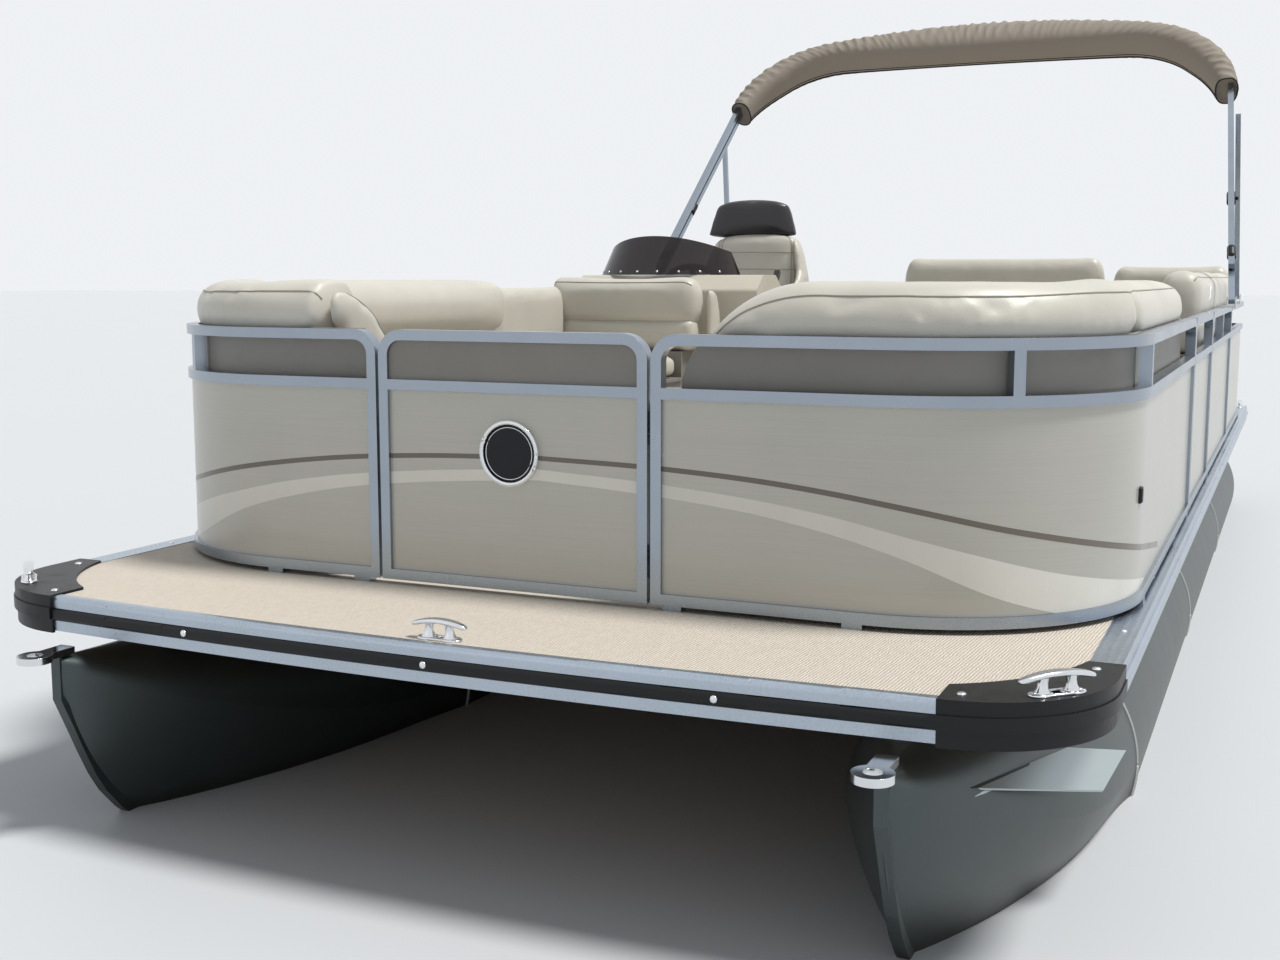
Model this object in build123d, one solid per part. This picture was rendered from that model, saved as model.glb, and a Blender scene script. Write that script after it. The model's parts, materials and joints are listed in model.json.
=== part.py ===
from build123d import *
import math
import os

os.makedirs("parts", exist_ok=True)

# Pontoon boat, afloat with no load. Lengths in millimetres and angles in degrees.
# X points to port, Y aft and Z up. The origin is on the waterline, below the middle of the bow edge.

# Deck
beam = 2590.0
deck_length = 6750.0
deck_top = 538.0
floor_thickness = 2.0
board_thickness = 20.0
bow_sweep = 54.0
rail_flange_width = 62.0
rail_flange_thickness = 3.5
side_rail_height = 79.0
side_rail_wall = 5.0
rub_bead_radius = 9.0

# Bow edge, from the top down
nosing_height = 25.0
bumper_height = 30.0
lower_band_height = 24.0
fascia_depth = 25.0
bumper_proud = 6.0
cap_inner_x = 1026.0
cap_length = 400.0
cap_corner_radius = 268.0
cap_wall = 17.0
cap_steps = (4.0, 11.0, 8.0)
cap_flange_thickness = 5.0
cap_cut_start_y = 130.0
cap_cut_middle = (1150.0, 235.0)
cleat_length = 150.0
corner_cleat_inset = 82.0
corner_cleat_y = 144.0
corner_cleat_turn = 44.0
centre_cleat_length = 120.0
centre_cleat_y = 60.0
stern_cleat_inset = 34.0
stern_cleat_ahead = 130.0

# Pontoons
tube_diameter = 610.0
tube_spacing = 1900.0
tube_centre_z = 80.0
cone_length = 1310.0
stem_ahead = 60.0
stem_tip_z = 425.0
tube_aft_y = 6560.0
keel_width = 60.0
keel_depth = 12.0
stem_bar_width = 26.0
stem_bar_depth = 7.0
stem_bar_sunk = 16.0
tow_eye_radius = 38.0
tow_eye_bore = 36.0
tow_eye_thickness = 16.0

# Frame below the deck
member_pitch = 610.0
member_first_y = 300.0
member_width = 40.0
member_height = 61.0
member_wall = 4.0
member_inset = 30.0
saddle_width = 140.0
saddle_length = 70.0

# Motor pod
pod_half_width = 330.0
pod_front_y = 5550.0
pod_ramp_y = 6000.0
pod_bottom_z = -60.0
transom_behind_deck = 150.0
transom_thickness = 45.0
transom_top_z = 500.0
transom_half_width = 210.0

# Fence
fence_front_y = 485.0
fence_half_width = 1275.0
fence_aft_y = 6150.0
bow_corner_radius = 510.0
stern_corner_radius = 120.0
fence_gap = 12.0
top_rail_above_deck = 611.0
mid_rail_above_deck = 494.0
rail_height = 25.0
rail_depth = 30.0
post_bend = 60.0
panel_thickness = 3.0
panel_inset = 9.0
stub_width = 26.0
foot_length = 44.0

# Gates, each in a gap of the fence
gate_gap = 8.0
section_gap = 5.0
bow_gate_low_x = -424.0
bow_gate_high_x = 274.0
side_gate_fore_y = 2400.0
side_gate_aft_y = 3290.0
stern_gate_low_x = -1085.0
stern_gate_high_x = -560.0
side_joint_y = 4720.0
starboard_joint_y = 2640.0
badge_diameter = 152.0
badge_x = -72.0
badge_z = 870.0
badge_thickness = 12.0
corner_post_turns = (35.0, 90.0)
port_side_post_y = 4000.0
starboard_side_post_y = 3700.0
stern_post_x = 300.0
knuckle_radius = 5.0
knuckle_length = 38.0
knuckle_arm = 24.0
knuckle_set_in = 6.0
knuckle_plate = 4.5
gate_pin_radius = 3.0

# Seats
seat_height = 442.0
cushion_thickness = 95.0
lid_board_thickness = 12.0
seat_back_top = 732.0
stern_back_top = 842.0
seat_back_thickness = 165.0
seat_depth = 420.0
seat_wall = 15.0
fence_clearance = 17.0
lid_gap = 15.0
back_edge_radius = 45.0
cushion_edge_radius = 25.0
soft_gap = 6.0
port_seat_inner_x = 330.0
starboard_seat_aft_y = 3040.0
starboard_back_inner_x = 575.0
starboard_aft_back_inner_x = 590.0
starboard_roll_aft_y = 2300.0
corner_filler_depth = 98.0
roll_overhang = 27.0
roll_above_rail = 6.0
port_seat_aft_y = 2290.0
aft_seat_fore_y = 3420.0
bench_depth = 520.0
stern_corner_back = 480.0
stern_corner_rise = 70.0
hinge_pin_radius = 3.0
hinge_eye_radius = 6.0

# Console and helm
console_to_fence = 45.0
console_high_x = -420.0
console_front_y = 3060.0
console_length = 540.0
console_height = 745.0
console_top_front = 150.0
console_top_rear = 300.0
dash_top_drop = 10.0
dash_drop = 150.0
dash_width = 560.0
dash_plate_thickness = 8.0
windscreen_height = 160.0
windscreen_radius = 322.0
windscreen_thickness = 5.0
windscreen_lean = 70.0
windscreen_off_centre = 82.0
windscreen_from_front = 85.0
windscreen_behind = 60.0
wheel_diameter = 360.0
wheel_rim = 28.0
wheel_tilt = 35.0
wheel_hub_radius = 34.0
wheel_shaft_radius = 12.0
wheel_boss_radius = 40.0

# Chair
chair_x = -860.0
chair_y = 4110.0
chair_width = 520.0
chair_seat_top = 480.0
chair_seat_depth = 480.0
chair_back_top = 960.0
headrest_height = 150.0
pedestal_radius = 36.0
pedestal_base_radius = 160.0
pedestal_base_height = 12.0
swivel_radius = 95.0
swivel_height = 30.0
tray_half_width = 190.0
tray_half_length = 180.0
chair_seat_thickness = 120.0
chair_tray_drop = 14.0
chair_bolster_width = 45.0
chair_arm_rise = 190.0

# Bimini top, packed in its boot and propped up
bimini_foot_y = 4060.0
bimini_foot_rise = 36.0
bimini_angle = 43.6
bimini_inboard = 65.0
bimini_lean = 3.8
bimini_tube = 25.0
bimini_leg = 1318.0
bimini_corner = 520.0
bimini_crown = 1930.0
bimini_pin_radius = 4.0
bimini_heel = 14.0
bimini_second_start = 160.0
second_bow_offset = 34.0
brace_foot_y = 5100.0
brace_outboard = 1.0
brace_top_inboard = 25.0
brace_reach = 1200.0
brace_tube = 22.0
boot_outside = 18.0
boot_thickness = 168.0
boot_width = 158.0
boot_end_width = 76.0

# Outboard motor
tilt_ahead = 30.0
tilt_axis_z = 545.0
steer_behind_transom = 125.0
cavitation_plate_z = -45.0
propeller_axis_z = -235.0
skeg_bottom_z = -430.0
cowl_bottom_z = 640.0
cowl_top_z = 1120.0
cowl_half_width = 225.0
cowl_front = 130.0
cowl_back = 560.0
propeller_diameter = 340.0
hub_radius = 52.0
blade_count = 3

# Stern ladder, folded upright at the stern
ladder_x = -860.0
ladder_width = 380.0
ladder_length = 500.0
ladder_tube = 25.0
ladder_stack = 36.0
ladder_behind = 24.0
ladder_pin_rise = 27.5
ladder_plate = 6.0
ladder_pin_radius = 5.0
tread_count = 2

# Places that follow from the sizes above
half_beam = beam / 2
console_low_x = console_to_fence - fence_half_width
console_aft_y = console_front_y + console_length
bimini_half_width = fence_half_width - bimini_inboard
brace_half_width = fence_half_width + brace_outboard
bow_radius = (half_beam**2 + bow_sweep**2) / (2 * bow_sweep)
board_top = deck_top - floor_thickness
board_bottom = board_top - board_thickness
flange_top = board_top + rail_flange_thickness
fascia_bottom = flange_top - nosing_height - bumper_height - lower_band_height
tube_radius = tube_diameter / 2
tube_x = tube_spacing / 2
cone_aft_y = cone_length - stem_ahead
tube_top = tube_centre_z + tube_radius
member_bottom = board_bottom - member_height
fence_bottom = deck_top + fence_gap
fence_top = deck_top + top_rail_above_deck
mid_top = deck_top + mid_rail_above_deck
seat_top = deck_top + seat_height
cushion_bottom = seat_top - cushion_thickness
locker_top = cushion_bottom - lid_board_thickness - 0.3
back_bottom = seat_top + 5
back_top = deck_top + seat_back_top
back_face = fence_half_width - rail_depth - fence_clearance
seat_face = back_face - seat_back_thickness
lid_rear = seat_face - lid_gap
lid_front = lid_rear - seat_depth
transom_y = deck_length + transom_behind_deck
clear = 0.3
running = 0.05


def block(x0, x1, y0, y1, z0, z1):
    """Box between two corners."""
    box = Box(abs(x1 - x0), abs(y1 - y0), abs(z1 - z0))
    return Pos((x0 + x1) / 2, (y0 + y1) / 2, (z0 + z1) / 2) * box


def rod(start, end, radius):
    """Round bar between two points."""
    reach = Vector(*end) - Vector(*start)
    frame = Plane(origin=start, z_dir=reach)
    return frame.location * Pos(0, 0, reach.length / 2) * Cylinder(radius, reach.length)


def raise_face(face, z0, z1):
    """Upright solid on a plan drawn at height zero."""
    return Pos(0, 0, z0) * extrude(face, amount=z1 - z0, dir=(0, 0, 1))


def across(points, x0, x1):
    """Solid with a side outline of (y, z) points, from x0 to x1."""
    outline = Polyline(*[(x0, y, z) for y, z in points], close=True)
    return extrude(make_face(outline), amount=x1 - x0, dir=(1, 0, 0))


def along(points, y0, y1):
    """Solid with an outline of (x, z) points, from y0 to y1."""
    outline = Polyline(*[(x, y0, z) for x, z in points], close=True)
    return extrude(make_face(outline), amount=y1 - y0, dir=(0, 1, 0))


def mirrored(shape):
    """The same shape on the other side of the centreline."""
    return mirror(shape, about=Plane.YZ)


def write(name, *shapes):
    """Write one node, of one or more solids that don't touch."""
    solids = []
    for shape in shapes:
        solids.extend(shape.solids())
    export_step(Compound(children=solids), f"parts/{name}.step")


# Deck and its edges


def bow_y(x):
    """Where the curved bow edge lies at a distance from the centreline."""
    return bow_radius - math.sqrt(bow_radius**2 - x**2)


def bow_band(half_width, inset0, inset1, z0, z1):
    """Bar that follows the bow edge between two insets."""
    sides = []
    for inset in (inset0, inset1):
        end = bow_y(half_width) + inset
        sides.append(((-half_width, end), (0, inset), (half_width, end)))
    (a, b, c), (d, e, f) = sides
    outline = [ThreePointArc(a, b, c), Line(c, f), ThreePointArc(f, e, d), Line(d, a)]
    return raise_face(make_face(outline), z0, z1)


def deck_plan(half_width, bow_inset, aft_y, corner_radius):
    """Plan of the deck, with its bow edge curved and its bow corners round."""
    end = bow_y(half_width) + bow_inset
    low, high = (-half_width, end), (half_width, end)
    edges = [
        ThreePointArc(low, (0, bow_inset), high),
        Line(high, (half_width, aft_y)),
        Line((half_width, aft_y), (-half_width, aft_y)),
        Line((-half_width, aft_y), low),
    ]
    plan = make_face(edges)
    corners = plan.vertices().sort_by(Axis.Y)[:2]
    return fillet(corners, corner_radius)


def make_deck():
    inside = half_beam - side_rail_wall - clear
    aft = deck_length - side_rail_wall - clear
    board = deck_plan(inside, fascia_depth + clear, aft, cap_corner_radius - cap_wall)
    write("deck_board", raise_face(board, board_bottom, board_top))
    floor_half = half_beam - rail_flange_width - clear
    plan = deck_plan(floor_half, fascia_depth + clear, aft, cap_corner_radius)
    floor = raise_face(plan, board_top, deck_top)
    hollow = cap_solid(0, cap_length + clear, board_top, deck_top)
    corner = hollow - cap_sweep(clear, board_top, deck_top)
    write("deck_floor", floor - corner - mirrored(corner))


def make_deck_trim():
    """Side rails with a flange on the deck, the stern rail and the two bow bands."""
    inner = half_beam - rail_flange_width
    wall = half_beam - side_rail_wall
    low = flange_top - side_rail_height
    lip = half_beam - 4 * side_rail_wall
    profile = [
        (inner, board_top), (inner, flange_top), (half_beam, flange_top), (half_beam, low),
        (lip, low), (lip, low + side_rail_wall), (wall, low + side_rail_wall), (wall, board_top),
    ]
    start = cap_length + clear
    rail = along(profile, start, deck_length)
    bead = rod(
        (half_beam, start, low + side_rail_height / 2),
        (half_beam, deck_length, low + side_rail_height / 2),
        rub_bead_radius,
    )
    rail = rail + bead - block(0, wall, start - 1, deck_length + 1, low + side_rail_wall, board_top)
    stern = block(-lip + clear, lip - clear, deck_length - side_rail_wall, deck_length, low, board_top)
    nosing_low = flange_top - nosing_height
    half = cap_inner_x - clear
    nosing = bow_band(half, 0, fascia_depth, nosing_low, flange_top + 2)
    front_edges = nosing.edges().filter_by(GeomType.CIRCLE).sort_by(Axis.Z)[-2:]
    nosing = fillet(front_edges.sort_by(Axis.Y)[0], nosing_height / 2)
    lower = bow_band(half, 2, fascia_depth, fascia_bottom, fascia_bottom + lower_band_height)
    write("deck_trim", rail, mirrored(rail), stern, nosing, lower)
    bumper_low = fascia_bottom + lower_band_height
    bumper = bow_band(half, -bumper_proud, fascia_depth, bumper_low, bumper_low + bumper_height)
    edges = bumper.edges().filter_by(GeomType.CIRCLE).sort_by(Axis.Y)[:2]
    return fillet(edges, bumper_height / 3)


def cap_outline(grow):
    """Plan of a port bow corner, outside face moved out by grow."""
    front = bow_y(cap_inner_x) - grow
    corner = bow_y(half_beam) - grow
    outline = Polyline(
        (cap_inner_x, front), (half_beam + grow, corner), (half_beam + grow, cap_length),
        (cap_inner_x, cap_length), close=True,
    )
    plan = make_face(outline)
    tip = plan.vertices().sort_by_distance((half_beam + grow, corner, 0))[0]
    return fillet(tip, cap_corner_radius + grow)


def cap_solid(grow, aft_y, z0, z1):
    solid = raise_face(cap_outline(grow), z0, z1)
    return solid + block(cap_inner_x, half_beam + grow, cap_length - 1, aft_y, z0, z1)


def cap_sweep(grow, z0, z1):
    """What the curved inner edge of the top flange leaves open."""
    a = (cap_inner_x, cap_cut_start_y + grow)
    b = (cap_cut_middle[0], cap_cut_middle[1] + grow)
    c = (half_beam - rail_flange_width, cap_length + grow)
    d = (cap_inner_x, cap_length + grow)
    plan = make_face([ThreePointArc(a, b, c), Line(c, d), Line(d, a)])
    return raise_face(plan, z0 - 1, z1 + 1)


def make_bumpers(strip):
    """The bow strip, and moulded corner caps with three steps and a flange on the deck."""
    top = flange_top + cap_flange_thickness
    step = (top - fascia_bottom) / 3
    core_low = fascia_bottom - 10
    core = raise_face(cap_outline(-4), core_low, board_bottom)
    core = core + block(
        cap_inner_x - 1, half_beam - 4, cap_length - 5, cap_length + 1, core_low, board_bottom,
    )
    cap = None
    for level, grow in enumerate(cap_steps):
        low = fascia_bottom - 5 if level == 0 else fascia_bottom + level * step
        ring = raise_face(cap_outline(grow), low, fascia_bottom + (level + 1) * step)
        cap = ring if cap is None else cap + ring
    board = raise_face(cap_outline(-4), board_bottom - 1, board_top + 0.01)
    cap = cap - board - core - cap_sweep(0, deck_top - 3, top + 5)
    write("bow_bumpers", strip, cap, mirrored(cap))


def cleat(x, y, z, turn, length):
    """Cleat of a base plate, two legs and a horn."""
    base = block(-length * 0.36, length * 0.36, -16, 16, 0, 5)
    body = base
    for side in (-1, 1):
        body = body + rod((side * length * 0.2, 0, 4), (side * length * 0.16, 0, 30), 8)
    horn = rod((-length / 2, 0, 32), (length / 2, 0, 32), 9)
    horn = horn + Pos(-length / 2, 0, 32) * Sphere(9) + Pos(length / 2, 0, 32) * Sphere(9)
    return Pos(x, y, z) * Rot(0, 0, turn) * (body + horn)


def make_cleats():
    top = flange_top + cap_flange_thickness
    corner_x = half_beam - corner_cleat_inset
    corner = cleat(corner_x, corner_cleat_y, top, corner_cleat_turn, cleat_length)
    centre = cleat(0, centre_cleat_y, deck_top, 0, centre_cleat_length)
    stern_y = deck_length - stern_cleat_ahead
    stern = cleat(half_beam - stern_cleat_inset, stern_y, flange_top, 90, cleat_length)
    write("cleats", corner, mirrored(corner), centre, stern, mirrored(stern))


# Pontoons

# y, half width, height of the widest line, top, bottom
cone_table = [
    (cone_aft_y, tube_radius, tube_centre_z, tube_top, tube_centre_z - tube_radius),
    (900.0, 286.0, 105.0, 389.0, -214.0),
    (560.0, 232.0, 170.0, 398.0, -172.0),
    (280.0, 152.0, 258.0, 408.0, -78.0),
    (90.0, 80.0, 330.0, 416.0, 78.0),
    (-stem_ahead + 25, 14.0, 400.0, stem_tip_z, 330.0),
]


def smooth_rows(table, steps):
    """Rows between those of a table, on cubic curves through them."""
    rows = []
    last = len(table) - 1
    for index in range(last):
        before = table[max(index - 1, 0)]
        a, b = table[index], table[index + 1]
        after = table[min(index + 2, last)]
        for step in range(steps):
            t = step / steps
            row = [a[0] + (b[0] - a[0]) * t]
            for p, q, r, s in zip(before[1:], a[1:], b[1:], after[1:]):
                start = (r - p) / (b[0] - before[0]) * (b[0] - a[0])
                finish = (s - q) / (after[0] - a[0]) * (b[0] - a[0])
                blend = (2 * t**3 - 3 * t**2 + 1) * q + (3 * t**2 - 2 * t**3) * r
                row.append(blend + (t**3 - 2 * t**2 + t) * start + (t**3 - t**2) * finish)
            rows.append(tuple(row))
    rows.append(tuple(table[-1]))
    return rows


def cone_section(y, half, wide_z, top, bottom):
    """Closed outline at one station, pointed at the keel ahead of the tube."""
    share = 0.7071
    keel_share = share if y == cone_aft_y else 0.60
    drop = wide_z - bottom
    rise = top - wide_z
    up = (half * share, wide_z + rise * share)
    down = (half * (share if y == cone_aft_y else 0.62), wide_z - drop * keel_share)
    right, left = (half, wide_z), (-half, wide_z)
    plane = Plane(origin=(0, y, 0), x_dir=(1, 0, 0), z_dir=(0, -1, 0))
    arcs = [
        ThreePointArc(right, up, (0, top)),
        ThreePointArc((0, top), (-up[0], up[1]), left),
        ThreePointArc(left, (-down[0], down[1]), (0, bottom)),
        ThreePointArc((0, bottom), down, right),
    ]
    return plane.location * make_face(arcs)


def stem_bar():
    """Flat bar down the prow, along the line where the two halves of the cone meet."""
    last = len(cone_rows) - 1
    inner = []
    outer = []
    for index, row in enumerate(cone_rows):
        y, z = row[0], row[4]
        proud = stem_bar_depth * min(index, 1)
        sunk = stem_bar_sunk * min(last - index, 1)
        inner.append((y + sunk * 0.7, z + sunk))
        outer.append((y - proud * 0.7, z - proud))
    points = inner + [(inner[-1][0], stem_tip_z)] + [(outer[-1][0], stem_tip_z)] + outer[::-1]
    return across(points, -stem_bar_width / 2, stem_bar_width / 2)


cone_steps = 4
cone_rows = smooth_rows(cone_table, cone_steps)

# x from the cone's middle, y and z: tip, free corner and rear corner of a spray fin
fin_table = [(105.0, 180.0, 335.0), (300.0, 560.0, 235.0), (318.0, 800.0, 250.0)]
fin_thickness = 5.0


def spray_fin():
    """Spray plate on the outboard side of the cone, wider aft, its root inside the skin."""
    tip, corner, rear = [Vector(*point) for point in fin_table]
    root = rear - (corner - tip) * 0.5
    face = make_face(Polyline(tip, corner, rear, root, close=True))
    return extrude(face, amount=fin_thickness)


def make_pontoons():
    length = tube_aft_y - cone_aft_y
    tube = Rot(90, 0, 0) * Cylinder(tube_radius, length)
    tube = Pos(0, cone_aft_y + length / 2, tube_centre_z) * tube
    keel_top = tube_centre_z - tube_radius + 4
    keel_low = keel_top - 4 - keel_depth
    keel = block(-keel_width / 2, keel_width / 2, cone_aft_y + 60, tube_aft_y, keel_low, keel_top)
    tube = tube + keel
    port = Pos(tube_x, 0, 0) * tube
    write("pontoon_port", port)
    write("pontoon_starboard", mirrored(port))
    faces = [cone_section(*row) for row in cone_rows[::cone_steps]]
    cone = loft(faces)
    nose = cone + (stem_bar() - block(-50, 50, cone_aft_y - 2, cone_aft_y + 50, -500, 500))
    nose = nose + spray_fin()
    port_nose = Pos(tube_x, 0, 0) * nose
    write("nosecone_port", port_nose)
    write("nosecone_starboard", mirrored(port_nose))
    eye_y = -stem_ahead - tow_eye_radius
    eye_z = stem_tip_z + tow_eye_thickness / 2
    ring = Pos(0, eye_y, eye_z) * Cylinder(tow_eye_radius, tow_eye_thickness)
    shank = block(-20, 20, eye_y, -stem_ahead + 60, stem_tip_z + clear, stem_tip_z + tow_eye_thickness)
    hole = Pos(0, eye_y, eye_z) * Cylinder(tow_eye_bore / 2, 3 * tow_eye_thickness)
    eye = Pos(tube_x, 0, 0) * (ring + shank - hole)
    write("tow_eyes", eye, mirrored(eye))
    return cone


def make_underframe(cone):
    """Cross members of channel, with a saddle on each tube."""
    half = half_beam - member_inset
    parts = []
    count = int((deck_length - 150 - member_first_y) / member_pitch) + 1
    for index in range(count):
        y = member_first_y + index * member_pitch
        web = [
            (y - member_width / 2, member_bottom), (y + member_width / 2, member_bottom),
            (y + member_width / 2, member_bottom + member_wall),
            (y - member_width / 2 + member_wall, member_bottom + member_wall),
            (y - member_width / 2 + member_wall, board_bottom - member_wall),
            (y + member_width / 2, board_bottom - member_wall),
            (y + member_width / 2, board_bottom), (y - member_width / 2, board_bottom),
        ]
        member = across(web, -half, half)
        for side in (-1, 1):
            x = side * tube_x
            low = tube_centre_z + tube_radius * 0.9
            saddle = block(
                x - saddle_width / 2, x + saddle_width / 2,
                y - saddle_length / 2, y + saddle_length / 2, low, member_bottom + 0.01,
            )
            if y > cone_aft_y + saddle_length:
                cut = Rot(90, 0, 0) * Cylinder(tube_radius + 0.02, 4 * saddle_length)
                cut = Pos(x, y, tube_centre_z) * cut
            else:
                cut = Pos(x, 0, 0) * cone
            member = member + (saddle - cut)
        parts.append(member)
    write("underframe", *parts)


def make_pod():
    """Motor pod between the tubes, with the transom plate that carries the motor."""
    side = [
        (pod_front_y, member_bottom - clear), (pod_front_y, member_bottom - 90),
        (pod_ramp_y, pod_bottom_z), (transom_y, pod_bottom_z), (transom_y, transom_top_z),
        (transom_y - transom_thickness, transom_top_z),
        (transom_y - transom_thickness, member_bottom - clear),
    ]
    pod = across(side, -pod_half_width, pod_half_width)
    trim = transom_y - transom_thickness - 1
    for sign in (-1, 1):
        x0, x1 = sorted((sign * transom_half_width, sign * (pod_half_width + 1)))
        pod = pod - block(x0, x1, trim, transom_y + 1, member_bottom - clear, transom_top_z + 1)
    write("motor_pod", pod)


# Fence, its panels and its gates


def corner_band(end_x, side_y, inset0, inset1, line_y, radius, way):
    """Plan of a band round a port corner: way is 1 at the bow and -1 at the stern."""
    lines = []
    for inset in (inset0, inset1):
        r = radius - inset
        cx = fence_half_width - radius
        cy = line_y + way * radius
        turn = r * math.sqrt(0.5)
        lines.append((
            (end_x, line_y + way * inset), (cx, line_y + way * inset),
            (cx + turn, cy - way * turn), (cx + r, cy), (cx + r, side_y),
        ))
    o, i = lines
    edges = [ThreePointArc(o[1], o[2], o[3]), ThreePointArc(i[3], i[2], i[1])]
    for a, b in ((o[0], o[1]), (o[3], o[4]), (o[4], i[4]), (i[4], i[3]), (i[1], i[0]), (i[0], o[0])):
        if math.dist(a, b) > 0.001:
            edges.append(Line(a, b))
    return make_face(edges)


def end_post(x, y, run, inward):
    """Upright at a section's end, bent over into the top rail. run points along the section."""
    bend = Cylinder(post_bend, rail_depth) - Cylinder(post_bend - rail_height, rail_depth)
    bend = bend & (Pos(-post_bend / 2, post_bend / 2, 0) * Box(post_bend, post_bend, rail_depth))
    bend = Pos(post_bend, rail_depth / 2, fence_top - post_bend) * Rot(90, 0, 0) * bend
    post = block(0, rail_height, 0, rail_depth, fence_bottom, fence_top - post_bend)
    shape = post + bend
    left = (-run[1], run[0])
    if left[0] * inward[0] + left[1] * inward[1] < 0:
        shape = Pos(0, -rail_depth, 0) * shape
    frame = Plane(origin=(x, y, 0), x_dir=(run[0], run[1], 0), z_dir=(0, 0, 1))
    return frame.location * shape


rail_levels = [
    (fence_bottom, fence_bottom + rail_height, 0.0),
    (mid_top - rail_height, mid_top, 0.0),
    (fence_top - rail_height, fence_top, post_bend),
]


def foot(x, y, run, inward, floor_z):
    """Small block that carries the bottom rail above the deck."""
    x0, x1 = sorted((x, x + run[0] * foot_length + inward[0] * rail_depth))
    y0, y1 = sorted((y, y + run[1] * foot_length + inward[1] * rail_depth))
    return block(x0, x1, y0, y1, floor_z, fence_bottom + 1)


def corner_post(turn, line_y, radius, way):
    """Short upright between the upper rails on a corner, at a turn from the line across the boat."""
    reach = radius - rail_depth / 2
    x = fence_half_width - radius + reach * math.sin(math.radians(turn))
    y = line_y + way * (radius - reach * math.cos(math.radians(turn)))
    height = fence_top - mid_top
    post = Rot(0, 0, way * turn) * Box(stub_width, rail_depth - 0.2, height)
    return Pos(x, y, mid_top - 1 + height / 2) * post


def corner_section(end_x, side_y, line_y, radius, way, stubs, turns=()):
    """Rails and panel of a section that turns a port corner."""
    frame = end_post(end_x, line_y, (1, 0), (0, way))
    frame = frame + end_post(fence_half_width, side_y, (0, -way), (-1, 0))
    for low, high, short in rail_levels:
        plan = corner_band(end_x + short, side_y - way * short, 0, rail_depth, line_y, radius, way)
        frame = frame + raise_face(plan, low, high)
    for x in stubs:
        y0, y1 = sorted((line_y, line_y + way * rail_depth))
        frame = frame + block(x - stub_width / 2, x + stub_width / 2, y0, y1, mid_top - 1, fence_top - 1)
    for turn in turns:
        frame = frame + corner_post(turn, line_y, radius, way)
    feet_x = (end_x + 30, fence_half_width - radius - foot_length)
    for x in feet_x:
        frame = frame + foot(x, line_y, (1, 0), (0, way), deck_top)
    for y in (line_y + way * radius, side_y - way * (foot_length + 30)):
        frame = frame + foot(fence_half_width, y, (0, way), (-1, 0), flange_top)
    inset = rail_height
    plan = corner_band(
        end_x + inset, side_y - way * inset, panel_inset, panel_inset + panel_thickness, line_y, radius, way,
    )
    panel = raise_face(plan, fence_bottom + rail_height, mid_top - rail_height)
    return frame, panel


def straight_section(y0, y1, floor_z, stubs=()):
    """Rails and panel of a straight section on the port side."""
    x0, x1 = fence_half_width - rail_depth, fence_half_width
    frame = end_post(x1, y0, (0, 1), (-1, 0)) + end_post(x1, y1, (0, -1), (-1, 0))
    for low, high, short in rail_levels:
        frame = frame + block(x0, x1, y0 + short, y1 - short, low, high)
    for y in stubs:
        frame = frame + block(x0, x1, y - stub_width / 2, y + stub_width / 2, mid_top - 1, fence_top - 1)
    if floor_z is not None:
        for y in (y0 + 30, y1 - 30 - foot_length):
            frame = frame + foot(x1, y, (0, 1), (-1, 0), floor_z)
    skin = x1 - panel_inset
    panel = block(
        skin - panel_thickness, skin, y0 + rail_height, y1 - rail_height,
        fence_bottom + rail_height, mid_top - rail_height,
    )
    return frame, panel


hinge_levels = (fence_bottom + 90, mid_top - 90)
set_in = rail_depth + knuckle_set_in

# Place of the hinge pin, direction from the pin to the gate, direction inboard
gate_hinges = {
    "bow": (bow_gate_high_x + gate_gap / 2, fence_front_y + set_in, (-1, 0), (0, 1)),
    "side": (fence_half_width - set_in, side_gate_fore_y - gate_gap / 2, (0, 1), (-1, 0)),
    "stern": (stern_gate_low_x - gate_gap / 2, fence_aft_y - set_in, (1, 0), (0, -1)),
}


def hinge_halves(x, y, run, inward):
    """Pins on arms for the fence, and the bored barrels on arms for the gate, at every level."""
    post = None
    leaf = None
    reach = gate_gap / 2 + knuckle_arm
    back = -knuckle_set_in - 0.5
    gap = 0.5
    for z in hinge_levels:
        low, high = z - knuckle_length, z + knuckle_length
        half = rod((0, 0, low), (0, 0, high), gate_pin_radius)
        half = half + rod((0, 0, low), (0, 0, z - gap), knuckle_radius)
        half = half + block(-reach, 0, back, back + knuckle_plate, low, z - gap)
        post = half if post is None else post + half
        half = rod((0, 0, z + gap), (0, 0, high), knuckle_radius)
        half = half + block(0, reach, back, back + knuckle_plate, z + gap, high)
        half = half - rod((0, 0, z), (0, 0, high + 1), gate_pin_radius + running)
        leaf = half if leaf is None else leaf + half
    left = (-run[1], run[0])
    if left[0] * inward[0] + left[1] * inward[1] < 0:
        post = mirror(post, about=Plane.XZ)
        leaf = mirror(leaf, about=Plane.XZ)
    frame = Plane(origin=(x, y, 0), x_dir=(run[0], run[1], 0), z_dir=(0, 0, 1))
    return frame.location * post, frame.location * leaf


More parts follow.
